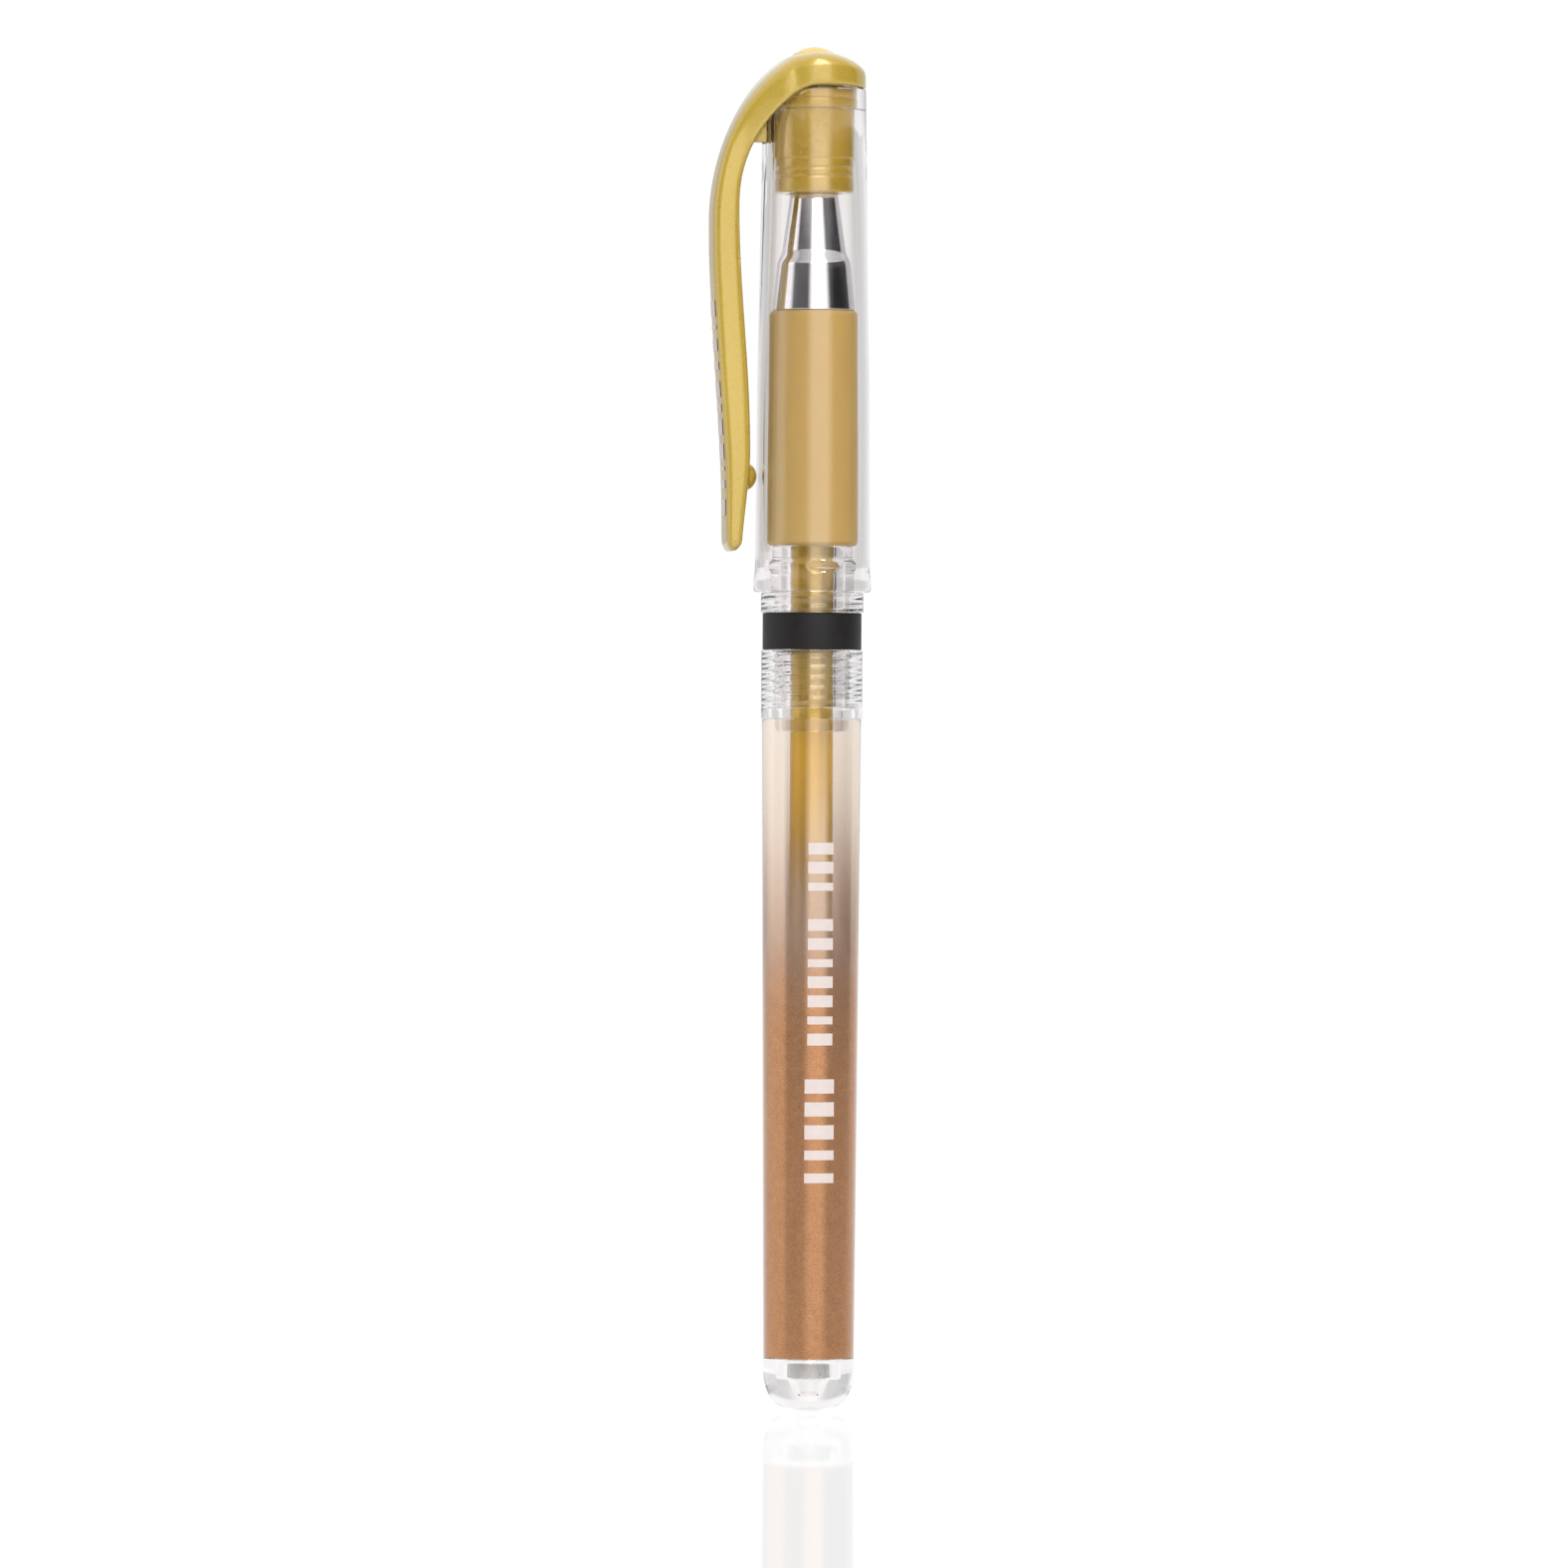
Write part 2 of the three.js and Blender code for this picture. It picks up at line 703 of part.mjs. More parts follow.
function capRadiusAt(z) {
  const skirtZ = capMouthZ + capSkirtLength;
  const bodyZ = skirtZ + capStraightLength;
  return z < bodyZ
    ? mix(capSkirtRadius, capBodyRadius, (z - skirtZ) / capStraightLength)
    : mix(capBodyRadius, capTopRadius, (z - bodyZ) / (capTopZ - bodyZ));
}

// Cap tube: clear, with a flared mouth, snap bumps inside, a ledge for the inner cap's flange, a top
// edge that follows the crown's underside, and a slot for the crown's web.
function capTube() {
  const ledgeZ = flangeZ - faceGap;
  const topBore = innerCapFlangeRadius + pressFit;
  const ledgeBore = innerCapBodyRadius + pressFit;
  const tube = toManifold(turnedRing([
    [capBoreRadius, capMouthZ],
    [capMouthRadius - capMouthEdge, capMouthZ],
    [capMouthRadius, capMouthZ + capMouthEdge],
    [capMouthRadius - capMouthTaper, capMouthZ + capSkirtLength / 4],
    [capSkirtRadius, capMouthZ + capSkirtLength],
    [capBodyRadius, capMouthZ + capSkirtLength + capStraightLength],
    [capTopRadius, capTopZ - faceGap],
    [topBore, capTopZ - faceGap],
    [topBore, ledgeZ],
    [ledgeBore, ledgeZ],
    [ledgeBore, innerCapRibZ],
    [ledgeBore + capBoreStep, innerCapRibZ - capBoreStepLength],
    [capBoreRadius, capMouthZ + capSkirtLength + capStraightLength],
  ]));
  const underCrown = toManifold(sidePlate(clipOutline(), 2 * capMouthRadius).translate(0, 0, -capGap));
  const slotWidth = webWidth + 2 * capGap;
  const slotInnerX = webInnerX + capGap;
  const slot = toManifold(new THREE.BoxGeometry(cutReach, slotWidth, webDrop + capGap)
    .translate(slotInnerX - cutReach / 2, 0, capTopZ - (webDrop + capGap) / 2));
  let cap = tube.subtract(underCrown).subtract(slot);
  for (let i = 0; i < snapBumpCount; i += 1) {
    const bump = new THREE.SphereGeometry(1, 10, 6)
      .scale(snapBumpWidth / 2, capBoreRadius - gripRearRadius - pressFit, snapBumpHeight / 2)
      .translate(0, -capBoreRadius, (beadZ + neckZ) / 2)
      .rotateZ((i / snapBumpCount) * 2 * Math.PI);
    cap = cap.add(toManifold(bump));
  }
  return toGeometry(cap);
}

// Inner cap: holds the seal over the point, and its stem passes through the crown.
function innerCap() {
  const ribs = [
    [innerCapBodyRadius - innerCapRibDepth, innerCapRibZ - innerCapGrooveLength],
    [innerCapBodyRadius - innerCapRibDepth, innerCapRibZ - innerCapRibEdge],
    [innerCapBodyRadius, innerCapRibZ],
  ];
  const sealBore = coneRadiusAt(coneTipZ) + innerCapFit;
  const seatZ = coneTipZ + innerCapFit;
  return turned([
    [0, sealTopZ],
    [innerCapTipRoom, sealTopZ],
    [innerCapTipRoom, seatZ],
    [sealBore, seatZ],
    [coneRadiusAt(innerCapMouthZ + innerCapMouthDepth) + innerCapFit, innerCapMouthZ + innerCapMouthDepth],
    [innerCapMouthRadius, innerCapMouthZ],
    [innerCapBodyRadius - 2 * innerCapRibDepth, innerCapMouthZ],
    [innerCapBodyRadius - innerCapRibDepth, innerCapMouthZ + innerCapRibDepth],
    ...ribs,
    [innerCapBodyRadius, flangeZ],
    [innerCapFlangeRadius, flangeZ],
    [innerCapFlangeRadius, flangeTopZ],
    [stemRadius, flangeTopZ],
    ...domeOutline(0, crownTopZ - buttonSink, stemRadius, buttonHeight + buttonSink, domeSteps),
  ]);
}

// Seal: a soft disc in the inner cap that closes on the point.
function tipSeal() {
  const radius = innerCapTipRoom - pressFit;
  const topZ = sealTopZ - faceGap;
  return rod(radius, nibZ + capGap, topZ, smallSegments);
}

const clear = { color: 0xe9e4e6, roughness: 0.08, metalness: 0 };
const gold = { color: 0xd0ac48, roughness: 0.25, metalness: 0.3 };
const steel = { color: 0xb8b4ac, roughness: 0.3, metalness: 1 };

// Each piece: its name, its maker and its look.
const pieces = [
  ['end_plug', endPlug, clear],
  ['barrel_tube', barrelTube, { color: 0xa87048, roughness: 0.3, metalness: 0.5 }],
  ['thread_collar', threadCollar, clear],
  ['band_ring', bandRing, { color: 0x252122, roughness: 0.4, metalness: 0 }],
  ['front_section', frontSection, clear],
  ['grip_sleeve', gripSleeve, { color: 0xcdaa69, roughness: 0.5, metalness: 0 }],
  ['nose_cone', noseCone, { color: 0xd8d8da, roughness: 0.08, metalness: 1 }],
  ['refill_tube', refillTube, clear],
  ['ink_column', inkColumn, { color: 0xc8a43c, roughness: 0.4, metalness: 0.4 }],
  ['ink_follower', inkFollower, { color: 0xe6dcc0, roughness: 0.3, metalness: 0 }],
  ['point_holder', pointHolder, { color: 0xe8e6e0, roughness: 0.3, metalness: 0 }],
  ['writing_point', writingPoint, steel],
  ['point_spring', pointSpring, steel],
  ['point_ball', pointBall, steel],
  ['cap_tube', capTube, clear],
  ['inner_cap', innerCap, gold],
  ['tip_seal', tipSeal, { color: 0x3a3835, roughness: 0.7, metalness: 0 }],
  ['clip_crown', clipCrown, gold],
  ['clip_arm', clipArm, gold],
];

const pen = new THREE.Group();
for (const [name, make, look] of pieces) {
  const mesh = new THREE.Mesh(make(), new THREE.MeshStandardMaterial(look));
  mesh.name = name;
  pen.add(mesh);
}

export default pen;
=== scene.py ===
import math

import bmesh
import bpy
from mathutils import Matrix, Vector


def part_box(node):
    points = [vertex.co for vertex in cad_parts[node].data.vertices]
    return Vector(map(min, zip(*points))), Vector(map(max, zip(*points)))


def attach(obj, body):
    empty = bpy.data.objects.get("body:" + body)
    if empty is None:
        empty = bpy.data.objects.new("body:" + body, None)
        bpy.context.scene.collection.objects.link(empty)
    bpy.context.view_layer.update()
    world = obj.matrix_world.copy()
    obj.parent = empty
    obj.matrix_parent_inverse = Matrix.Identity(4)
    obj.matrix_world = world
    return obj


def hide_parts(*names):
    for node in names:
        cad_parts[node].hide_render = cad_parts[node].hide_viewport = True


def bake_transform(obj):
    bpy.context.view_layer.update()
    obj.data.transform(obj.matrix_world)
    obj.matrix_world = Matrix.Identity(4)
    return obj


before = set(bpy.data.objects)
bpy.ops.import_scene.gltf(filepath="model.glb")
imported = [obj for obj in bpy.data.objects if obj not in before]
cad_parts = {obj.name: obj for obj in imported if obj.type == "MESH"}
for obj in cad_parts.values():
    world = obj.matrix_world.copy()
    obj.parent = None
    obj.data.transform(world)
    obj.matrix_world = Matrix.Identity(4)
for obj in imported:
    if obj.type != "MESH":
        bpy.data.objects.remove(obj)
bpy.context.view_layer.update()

mm = 0.001  # sizes below are in millimetres, Blender works in metres
turnSteps = 144
gap = 0.06  # between faces that meet
filletShare = 0.48  # most of a side that one fillet may take


# Meshes

def zSpan(node):
    low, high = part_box(node)
    return low.z / mm, high.z / mm


def reach(node):
    low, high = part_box(node)
    return high.y / mm


def rounded(corners, fineness=5):
    # corners are (radius, height) or (radius, height, fillet); a fillet is a curve across its corner
    points = []
    count = len(corners)
    for i, corner in enumerate(corners):
        here = Vector(corner[:2])
        before = Vector(corners[i - 1][:2])
        after = Vector(corners[(i + 1) % count][:2])
        fillet = corner[2] if len(corner) > 2 else 0
        if fillet == 0:
            points.append(here)
            continue
        towardsBefore = (before - here).normalized() * min(fillet, (before - here).length * filletShare)
        towardsAfter = (after - here).normalized() * min(fillet, (after - here).length * filletShare)
        for step in range(fineness + 1):
            t = step / fineness
            points.append(here + towardsBefore * (1 - t) ** 2 + towardsAfter * t ** 2)
    return points


def turned(corners, steps=turnSteps):
    # spins an outline of radius and height round the pen's axis; it closes on itself or on the axis
    bm = bmesh.new()
    points = rounded(corners)
    verts = [bm.verts.new((point[0] * mm, 0, point[1] * mm)) for point in points]
    pairs = list(zip(verts, verts[1:]))
    if points[0][0] > 0 or points[-1][0] > 0:
        pairs.append((verts[-1], verts[0]))
    edges = [bm.edges.new(pair) for pair in pairs]
    bmesh.ops.spin(bm, geom=verts + edges, cent=(0, 0, 0), axis=(0, 0, 1), dvec=(0, 0, 0),
                   angle=2 * math.pi, steps=steps, use_merge=True, use_duplicate=False)
    bmesh.ops.remove_doubles(bm, verts=bm.verts, dist=1e-7)
    bmesh.ops.dissolve_degenerate(bm, edges=bm.edges, dist=1e-8)
    bmesh.ops.recalc_face_normals(bm, faces=bm.faces)
    return bm


def plate(outline, halfWidth):
    # extrudes an outline in the XZ plane to both sides of it
    bm = bmesh.new()
    verts = [bm.verts.new((point[0] * mm, -halfWidth * mm, point[1] * mm)) for point in outline]
    face = bm.faces.new(verts)
    grown = bmesh.ops.extrude_face_region(bm, geom=[face])
    moved = [item for item in grown["geom"] if isinstance(item, bmesh.types.BMVert)]
    bmesh.ops.translate(bm, verts=moved, vec=(0, 2 * halfWidth * mm, 0))
    bmesh.ops.recalc_face_normals(bm, faces=bm.faces)
    return bm


def block(low, high):
    bm = bmesh.new()
    bmesh.ops.create_cube(bm, size=1)
    size = Vector(high) - Vector(low)
    bmesh.ops.scale(bm, verts=bm.verts, vec=size * mm)
    bmesh.ops.translate(bm, verts=bm.verts, vec=(Vector(low) + Vector(high)) * 0.5 * mm)
    return bm


def bezier(start, leave, arrive, end, steps=14):
    points = []
    for step in range(steps):
        t = step / steps
        points.append(tuple(
            a * (1 - t) ** 3 + 3 * b * t * (1 - t) ** 2 + 3 * c * t ** 2 * (1 - t) + d * t ** 3
            for a, b, c, d in zip(start, leave, arrive, end)))
    return points


def meshObject(name, bm):
    mesh = bpy.data.meshes.new(name)
    bm.to_mesh(mesh)
    bm.free()
    obj = bpy.data.objects.new(name, mesh)
    bpy.context.scene.collection.objects.link(obj)
    return obj


def cutAway(obj, tool):
    # cuts a second mesh object, which is used up, out of the first
    modifier = obj.modifiers.new("cut", "BOOLEAN")
    modifier.operation = "DIFFERENCE"
    modifier.solver = "EXACT"
    modifier.object = tool
    bakeModifiers(obj)
    bpy.data.objects.remove(tool)


def bakeModifiers(obj):
    graph = bpy.context.evaluated_depsgraph_get()
    mesh = bpy.data.meshes.new_from_object(obj.evaluated_get(graph))
    obj.modifiers.clear()
    old = obj.data
    obj.data = mesh
    bpy.data.meshes.remove(old)
    mesh.name = obj.name


def dress(obj, materials, sharpAngle=35):
    obj.data.materials.clear()
    for material in materials:
        obj.data.materials.append(material)
    for polygon in obj.data.polygons:
        polygon.use_smooth = True
    obj.data.set_sharp_from_angle(angle=math.radians(sharpAngle))
    return obj


def piece(name, bm, material, body, nodes, sharpAngle=35):
    obj = meshObject(name, bm)
    dress(obj, [material], sharpAngle)
    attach(obj, body)
    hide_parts(*nodes)
    return obj


# Materials

socketNames = {
    "colour": "Base Color",
    "metal": "Metallic",
    "rough": "Roughness",
    "ior": "IOR",
    "clear": "Transmission Weight",
    "coat": "Coat Weight",
    "coatRough": "Coat Roughness",
    "specular": "Specular IOR Level",
    "subsurface": "Subsurface Weight",
    "subsurfaceScale": "Subsurface Scale",
}


def rgb(red, green, blue):
    # a colour as it looks on a screen, made linear
    return tuple((c / 255 / 12.92 if c <= 10 else ((c / 255 + 0.055) / 1.055) ** 2.4)
                 for c in (red, green, blue)) + (1,)


class Finish:
    # a Principled material and short ways to add nodes to it
    def __init__(self, name, **sockets):
        self.material = bpy.data.materials.new(name)
        self.material.use_nodes = True
        self.nodes = self.material.node_tree.nodes
        self.links = self.material.node_tree.links
        self.shader = self.nodes["Principled BSDF"]
        self.place = self.nodes.new("ShaderNodeTexCoord").outputs["Object"]
        for key, value in sockets.items():
            self.shader.inputs[socketNames[key]].default_value = value

    def add(self, kind, inputs=(), **settings):
        node = self.nodes.new(kind)
        for key, value in settings.items():
            setattr(node, key, value)
        for key, value in dict(inputs).items():
            if hasattr(value, "is_output"):
                self.links.new(value, node.inputs[key])
            else:
                node.inputs[key].default_value = value
        return node

    def math(self, operation, first, second=0.5, clamp=False):
        node = self.add("ShaderNodeMath", {0: first, 1: second}, operation=operation, use_clamp=clamp)
        return node.outputs[0]

    def grain(self, scale, detail=2.0, stretch=(1, 1, 1), roughness=0.5):
        placed = self.add("ShaderNodeMapping", {"Vector": self.place, "Scale": stretch}).outputs[0]
        return self.add("ShaderNodeTexNoise", {"Vector": placed, "Scale": scale, "Detail": detail,
                                               "Roughness": roughness}).outputs["Fac"]

    def flakes(self, scale):
        cells = self.add("ShaderNodeTexVoronoi", {"Vector": self.place, "Scale": scale}).outputs["Color"]
        return self.add("ShaderNodeSeparateColor", {"Color": cells}).outputs[0]

    def height(self, low, high):
        # 0 below the low height and 1 above the high one, in millimetres
        z = self.add("ShaderNodeSeparateXYZ", {"Vector": self.place}).outputs["Z"]
        return self.ranged(z, low * mm, high * mm, 0, 1)

    def ranged(self, value, low, high, start, end):
        return self.add("ShaderNodeMapRange", {"Value": value, "From Min": low, "From Max": high,
                                               "To Min": start, "To Max": end}).outputs["Result"]

    def blend(self, factor, first, second):
        node = self.add("ShaderNodeMix", data_type="RGBA")
        for socket, value in ((node.inputs[0], factor), (node.inputs[6], first), (node.inputs[7], second)):
            if hasattr(value, "is_output"):
                self.links.new(value, socket)
            else:
                socket.default_value = value
        return node.outputs[2]

    def feed(self, key, value):
        self.links.new(value, self.shader.inputs[socketNames[key]])

    def bump(self, value, strength, depth):
        node = self.add("ShaderNodeBump", {"Height": value, "Strength": strength, "Distance": depth * mm})
        self.links.new(node.outputs["Normal"], self.shader.inputs["Normal"])


def clearPlastic(name, tint, smudge=0.03):
    # water-clear moulded plastic, with handling smudges and a faint flow ripple
    finish = Finish(name, colour=tint, clear=1.0, ior=1.49)
    finish.feed("rough", finish.ranged(finish.grain(160, 3), 0.45, 0.75, 0.0, smudge))
    finish.bump(finish.grain(90, 1, (1, 1, 0.25)), 0.12, 0.05)
    return finish.material


def goldPlastic(name, body, lit, rough=0.3):
    # pearl gold moulding: fine flakes, slow flow marks and a soft gloss
    finish = Finish(name, metal=0.2, coat=1.0, coatRough=0.1, ior=1.5)
    flow = finish.grain(70, 3, (1, 1, 0.4))
    flakes = finish.flakes(9000)
    tone = finish.math("ADD", finish.math("MULTIPLY", flow, 0.7), finish.math("MULTIPLY", flakes, 0.35), True)
    finish.feed("colour", finish.blend(tone, body, lit))
    finish.feed("rough", finish.ranged(finish.grain(400, 2), 0.3, 0.7, rough - 0.05, rough + 0.06))
    finish.bump(flakes, 0.08, 0.01)
    return finish.material


def gripMaterial():
    finish = Finish("gripGoldBrightened", ior=1.5, coat=0.25, coatRough=0.25, subsurface=0.15, subsurfaceScale=0.002)
    flow = finish.grain(55, 2, (1, 1, 0.2))
    fine = finish.grain(3500, 2)
    tone = finish.math("ADD", finish.math("MULTIPLY", flow, 0.6), finish.math("MULTIPLY", fine, 0.4), True)
    # painted light: the grip's gold is lighter than its own colour, making up for the light lost through the
    # clear cap
    finish.feed("colour", finish.blend(tone, rgb(224, 181, 94), rgb(243, 208, 128)))
    finish.feed("rough", finish.ranged(fine, 0.3, 0.7, 0.34, 0.46))
    finish.bump(fine, 0.15, 0.01)
    return finish.material


def barrelMaterial(fadeLow, fadeHigh, levels):
    # clear tube under a metallic bronze spray that is thick at the rear and dies out towards the front
    finish = Finish("bronzeSpray", ior=1.49, coat=0.6, coatRough=0.02, clear=1.0)
    flakes = finish.flakes(11000)
    mottle = finish.grain(900, 3)
    wave = finish.grain(45, 2)
    fade = finish.height(fadeLow, fadeHigh)
    uneven = finish.math("ADD", fade, finish.math("MULTIPLY", finish.math("SUBTRACT", wave, 0.5), 0.08))
    spray = finish.add("ShaderNodeValToRGB", {"Fac": uneven})
    spray.color_ramp.interpolation = "B_SPLINE"
    stops = spray.color_ramp.elements
    for i, (position, level) in enumerate(levels):
        stop = stops[i] if i < 2 else stops.new(position)
        stop.position = position
        stop.color = (level, level, level, 1)
    density = spray.outputs["Color"]
    bronze = finish.blend(finish.math("ADD", finish.math("MULTIPLY", flakes, 0.5),
                                      finish.math("MULTIPLY", mottle, 0.5)),
                          rgb(158, 104, 64), rgb(202, 148, 104))
    finish.feed("colour", finish.blend(density, rgb(250, 237, 222), bronze))
    finish.feed("metal", density)
    finish.feed("rough", finish.ranged(density, 0.0, 1.0, 0.02, 0.19))
    finish.bump(flakes, 0.05, 0.01)
    return finish.material


def inkMaterial(lowZ, highZ):
    # translucent refill tube: gold where ink stands behind it, milky where it is empty; the ink gold is
    # painted lighter than the ink's own colour, as painted light that makes up for the light lost through the
    # clear barrel
    finish = Finish("refillGoldBrightened", metal=0.25, coat=0.25, coatRough=0.04, ior=1.5)
    flow = finish.grain(300, 3, (1, 1, 0.12))
    soft = 0.4
    filled = finish.math("MULTIPLY", finish.height(lowZ - soft, lowZ + soft),
                         finish.math("SUBTRACT", 1.0, finish.height(highZ - soft, highZ + soft)))
    # painted light: this ink gold is lighter than the ink's own colour
    ink = finish.blend(flow, rgb(234, 184, 0), rgb(250, 208, 14))
    finish.feed("colour", finish.blend(filled, rgb(238, 236, 232), ink))
    finish.feed("rough", finish.ranged(flow, 0.2, 0.8, 0.18, 0.3))
    finish.feed("clear", finish.ranged(filled, 0, 1, 0.6, 0.0))
    return finish.material


def plainPlastic(name, body, lit, rough, **sockets):
    finish = Finish(name, ior=1.5, **sockets)
    fine = finish.grain(1200, 3)
    finish.feed("colour", finish.blend(fine, body, lit))
    finish.feed("rough", finish.ranged(fine, 0.3, 0.7, rough - 0.05, rough + 0.05))
    finish.bump(fine, 0.1, 0.01)
    return finish.material


def metalMaterial(name, body, lit, rough, turning=0.05):
    # turned and plated metal: very faint rings from the lathe
    finish = Finish(name, metal=1.0, ior=1.5)
    rings = finish.grain(2200, 2, (0.02, 0.02, 1))
    finish.feed("colour", finish.blend(rings, body, lit))
    finish.feed("rough", finish.ranged(finish.grain(500, 3), 0.3, 0.7, rough * 0.6, rough * 1.4))
    finish.bump(rings, turning, 0.004)
    return finish.material


print("finishes")
clearCap = clearPlastic("clearCap", (0.95, 0.932, 0.93, 1))
clearBody = clearPlastic("clearBody", (0.955, 0.94, 0.938, 1), 0.05)
moulded = goldPlastic("pearlGold", rgb(166, 138, 38), rgb(194, 165, 68))
# the inner cap's pearl gold is a brighter copy of the clip's: painted light that makes up for the light lost
# through the clear cap
innerMouldedBrightened = goldPlastic("pearlGoldInnerBrightened", rgb(208, 166, 44), rgb(229, 193, 78))
gripGoldBrightened = gripMaterial()
blackBand = plainPlastic("blackBand", rgb(14, 11, 12), rgb(22, 18, 20), 0.5, specular=0.3)
brightMetal = metalMaterial("brightMetal", rgb(232, 230, 236), rgb(250, 249, 252), 0.06)
pointMetal = metalMaterial("pointMetal", rgb(176, 172, 164), rgb(206, 202, 192), 0.22)
ballMetal = metalMaterial("ballMetal", rgb(120, 118, 116), rgb(150, 148, 146), 0.12)
springMetal = metalMaterial("springMetal", rgb(180, 176, 170), rgb(212, 208, 202), 0.2)
whiteHolder = plainPlastic("whiteHolder", rgb(228, 226, 220), rgb(240, 238, 233), 0.35)
sealRubber = plainPlastic("sealRubber", rgb(196, 190, 178), rgb(212, 206, 196), 0.6)
grease = plainPlastic("greasePlug", rgb(222, 206, 150), rgb(234, 222, 180), 0.15, clear=0.5)
inkGold = plainPlastic("inkGold", rgb(176, 138, 34), rgb(214, 182, 78), 0.3, metal=0.6)
whitePrint = plainPlastic("whitePrint", rgb(196, 182, 177), rgb(208, 195, 190), 0.4, coat=0.5)


print("rear plug and barrel")
plug = {
    "bossRadius": 1.65,
    "bossHeight": 0.4,
    "flat": 2.5,
    "domeHeight": 4.3,
    "length": 5.75,
    "spigot": 3.4,
    "spigotWall": 0.7,
    "floor": 3.6,
    "pip": 2.3,
    "pipRadius": 1.5,
    "socketStep": 0.5,
    "foot": 0.2,
    "fit": 0.03,
}
barrelRear, barrelFront = zSpan("barrel_tube")
barrel = {
    "rearRadius": 4.92,
    "frontRadius": reach("barrel_tube"),
    "bore": 4.1,
    "rows": 60,
    "bareDepth": 0.3,
    "fadeLow": 40.0,
    "fadeHigh": 78.0,
    "spray": [(0.0, 1.0), (1.0, 0.01), (0.16, 0.96), (0.32, 0.66), (0.53, 0.28), (0.74, 0.08)],
}


def dome(flatRadius, outerRadius, low, high, steps=14):
    # quarter of an ellipse from the flat end up to the side of the tube
    points = []
    for step in range(steps + 1):
        angle = math.radians(90 * step / steps)
        points.append((flatRadius + (outerRadius - flatRadius) * math.sin(angle),
                       high - (high - low) * math.cos(angle)))
    return points


def endPlug():
    spigotRadius = barrel["bore"] - plug["fit"]
    spigotTop = plug["length"] + plug["spigot"]
    refillBore = reach("refill_tube") + 0.05
    return turned([
        (0, 0.02),
        (plug["bossRadius"] - 2 * plug["foot"], 0.0, 0.3),
        (plug["bossRadius"] + plug["foot"] / 2, plug["foot"], 0.3),
        (plug["bossRadius"] + 2 * plug["foot"], plug["bossHeight"], 0.3),
        *dome(plug["flat"], barrel["rearRadius"], plug["bossHeight"], plug["domeHeight"]),
        (barrel["rearRadius"], plug["length"], 0.08),
        (spigotRadius, plug["length"], 0.05),
        (spigotRadius, spigotTop, 0.2),
        (spigotRadius - plug["spigotWall"], spigotTop, 0.1),
        (spigotRadius - plug["spigotWall"], plug["length"], 0.35),
        (refillBore, plug["length"] - plug["socketStep"], 0.15),
        (refillBore, plug["floor"], 0.3),
        (plug["pipRadius"], plug["floor"], 0.15),
        (plug["pipRadius"] * 0.6, plug["pip"], 0.25),
        (0, plug["pip"]),
    ])


piece("rearPlug", endPlug(), clearBody, "barrel", ["end_plug"])

barrelPaint = barrelMaterial(barrel["fadeLow"], barrel["fadeHigh"], barrel["spray"])


def barrelTube():
    rows = barrel["rows"]
    outline = [(barrel["bore"], barrelRear, 0.05)]
    for row in range(rows + 1):
        part = row / rows
        fillet = 0.08 if row in (0, rows) else 0
        outline.append((barrel["rearRadius"] + (barrel["frontRadius"] - barrel["rearRadius"]) * part,
                        barrelRear + (barrelFront - barrelRear) * part, fillet))
    outline.append((barrel["bore"], barrelFront, 0.05))
    return turned(outline)


barrelPiece = piece("barrelTube", barrelTube(), barrelPaint, "barrel", ["barrel_tube"])
barrelPiece.data.materials.append(clearBody)
for polygon in barrelPiece.data.polygons:
    x, y, z = polygon.center
    if math.hypot(x, y) < (barrel["bore"] + barrel["bareDepth"]) * mm:
        polygon.material_index = 1  # the spray is on the outside only


print("thread")
thread = {
    "pitch": 1.1,
    "turns": 8.5,
    "core": 4.1,
    "nut": 4.3,
    "height": 0.26,
    "rootWidth": 0.96,
    "crestWidth": 0.12,
    "clearance": 0.03,
    "rowsPerPitch": 12,
    "startAbove": 1.06,
    "taper": 0.3,
    "nutLead": 1,
    "nutRunOut": 6,
}
spigotRear, collarFront = zSpan("thread_collar")
collarRear = barrelFront + gap
sectionRear, sectionFront = zSpan("front_section")
wallMatch = 0.004  # a row belongs to a wall when its radius is this near


def threadRise(x, y, z, clearance, lead, runOut):
    # how far the ridge stands off the core at a place, on a right-handed helix that starts on +X
    turn = (math.atan2(y, x) / (2 * math.pi)) % 1
    lift = (z - sectionRear - thread["startAbove"]) / thread["pitch"] - turn
    along = round(lift) + turn
    offset = abs(lift - round(lift)) * thread["pitch"]
    halfRoot = thread["rootWidth"] / 2 + clearance
    halfCrest = thread["crestWidth"] / 2 + clearance
    slope = min(max((halfRoot - offset) / (halfRoot - halfCrest), 0), 1)
    fadeIn = min(max((along + lead) / thread["taper"], 0), 1)
    fadeOut = min(max((thread["turns"] + runOut - along) / thread["taper"], 0), 1)
    return slope * slope * (3 - 2 * slope) * fadeIn * fadeOut


def cutThread(bm, radius, height, clearance, lead, runOut):
    # moves the fine rows of a wall that stands at this radius
    for vert in bm.verts:
        x, y, z = vert.co / mm
        here = math.hypot(x, y)
        if abs(here - radius) < wallMatch:
            rise = height * threadRise(x, y, z, clearance, lead, runOut)
            vert.co.x *= (here + rise) / here
            vert.co.y *= (here + rise) / here


def fineRows(radius, start, end):
    count = max(2, round(abs(end - start) / thread["pitch"] * thread["rowsPerPitch"]))
    return [(radius, start + (end - start) * row / count) for row in range(count + 1)]


collar = {
    "rearRadius": reach("barrel_tube") + 0.1,
    "frontRadius": reach("thread_collar"),
    "spigotWall": 0.8,
    "floor": 1.2,
    "bandDepth": 0.48,
    "fit": 0.03,
}


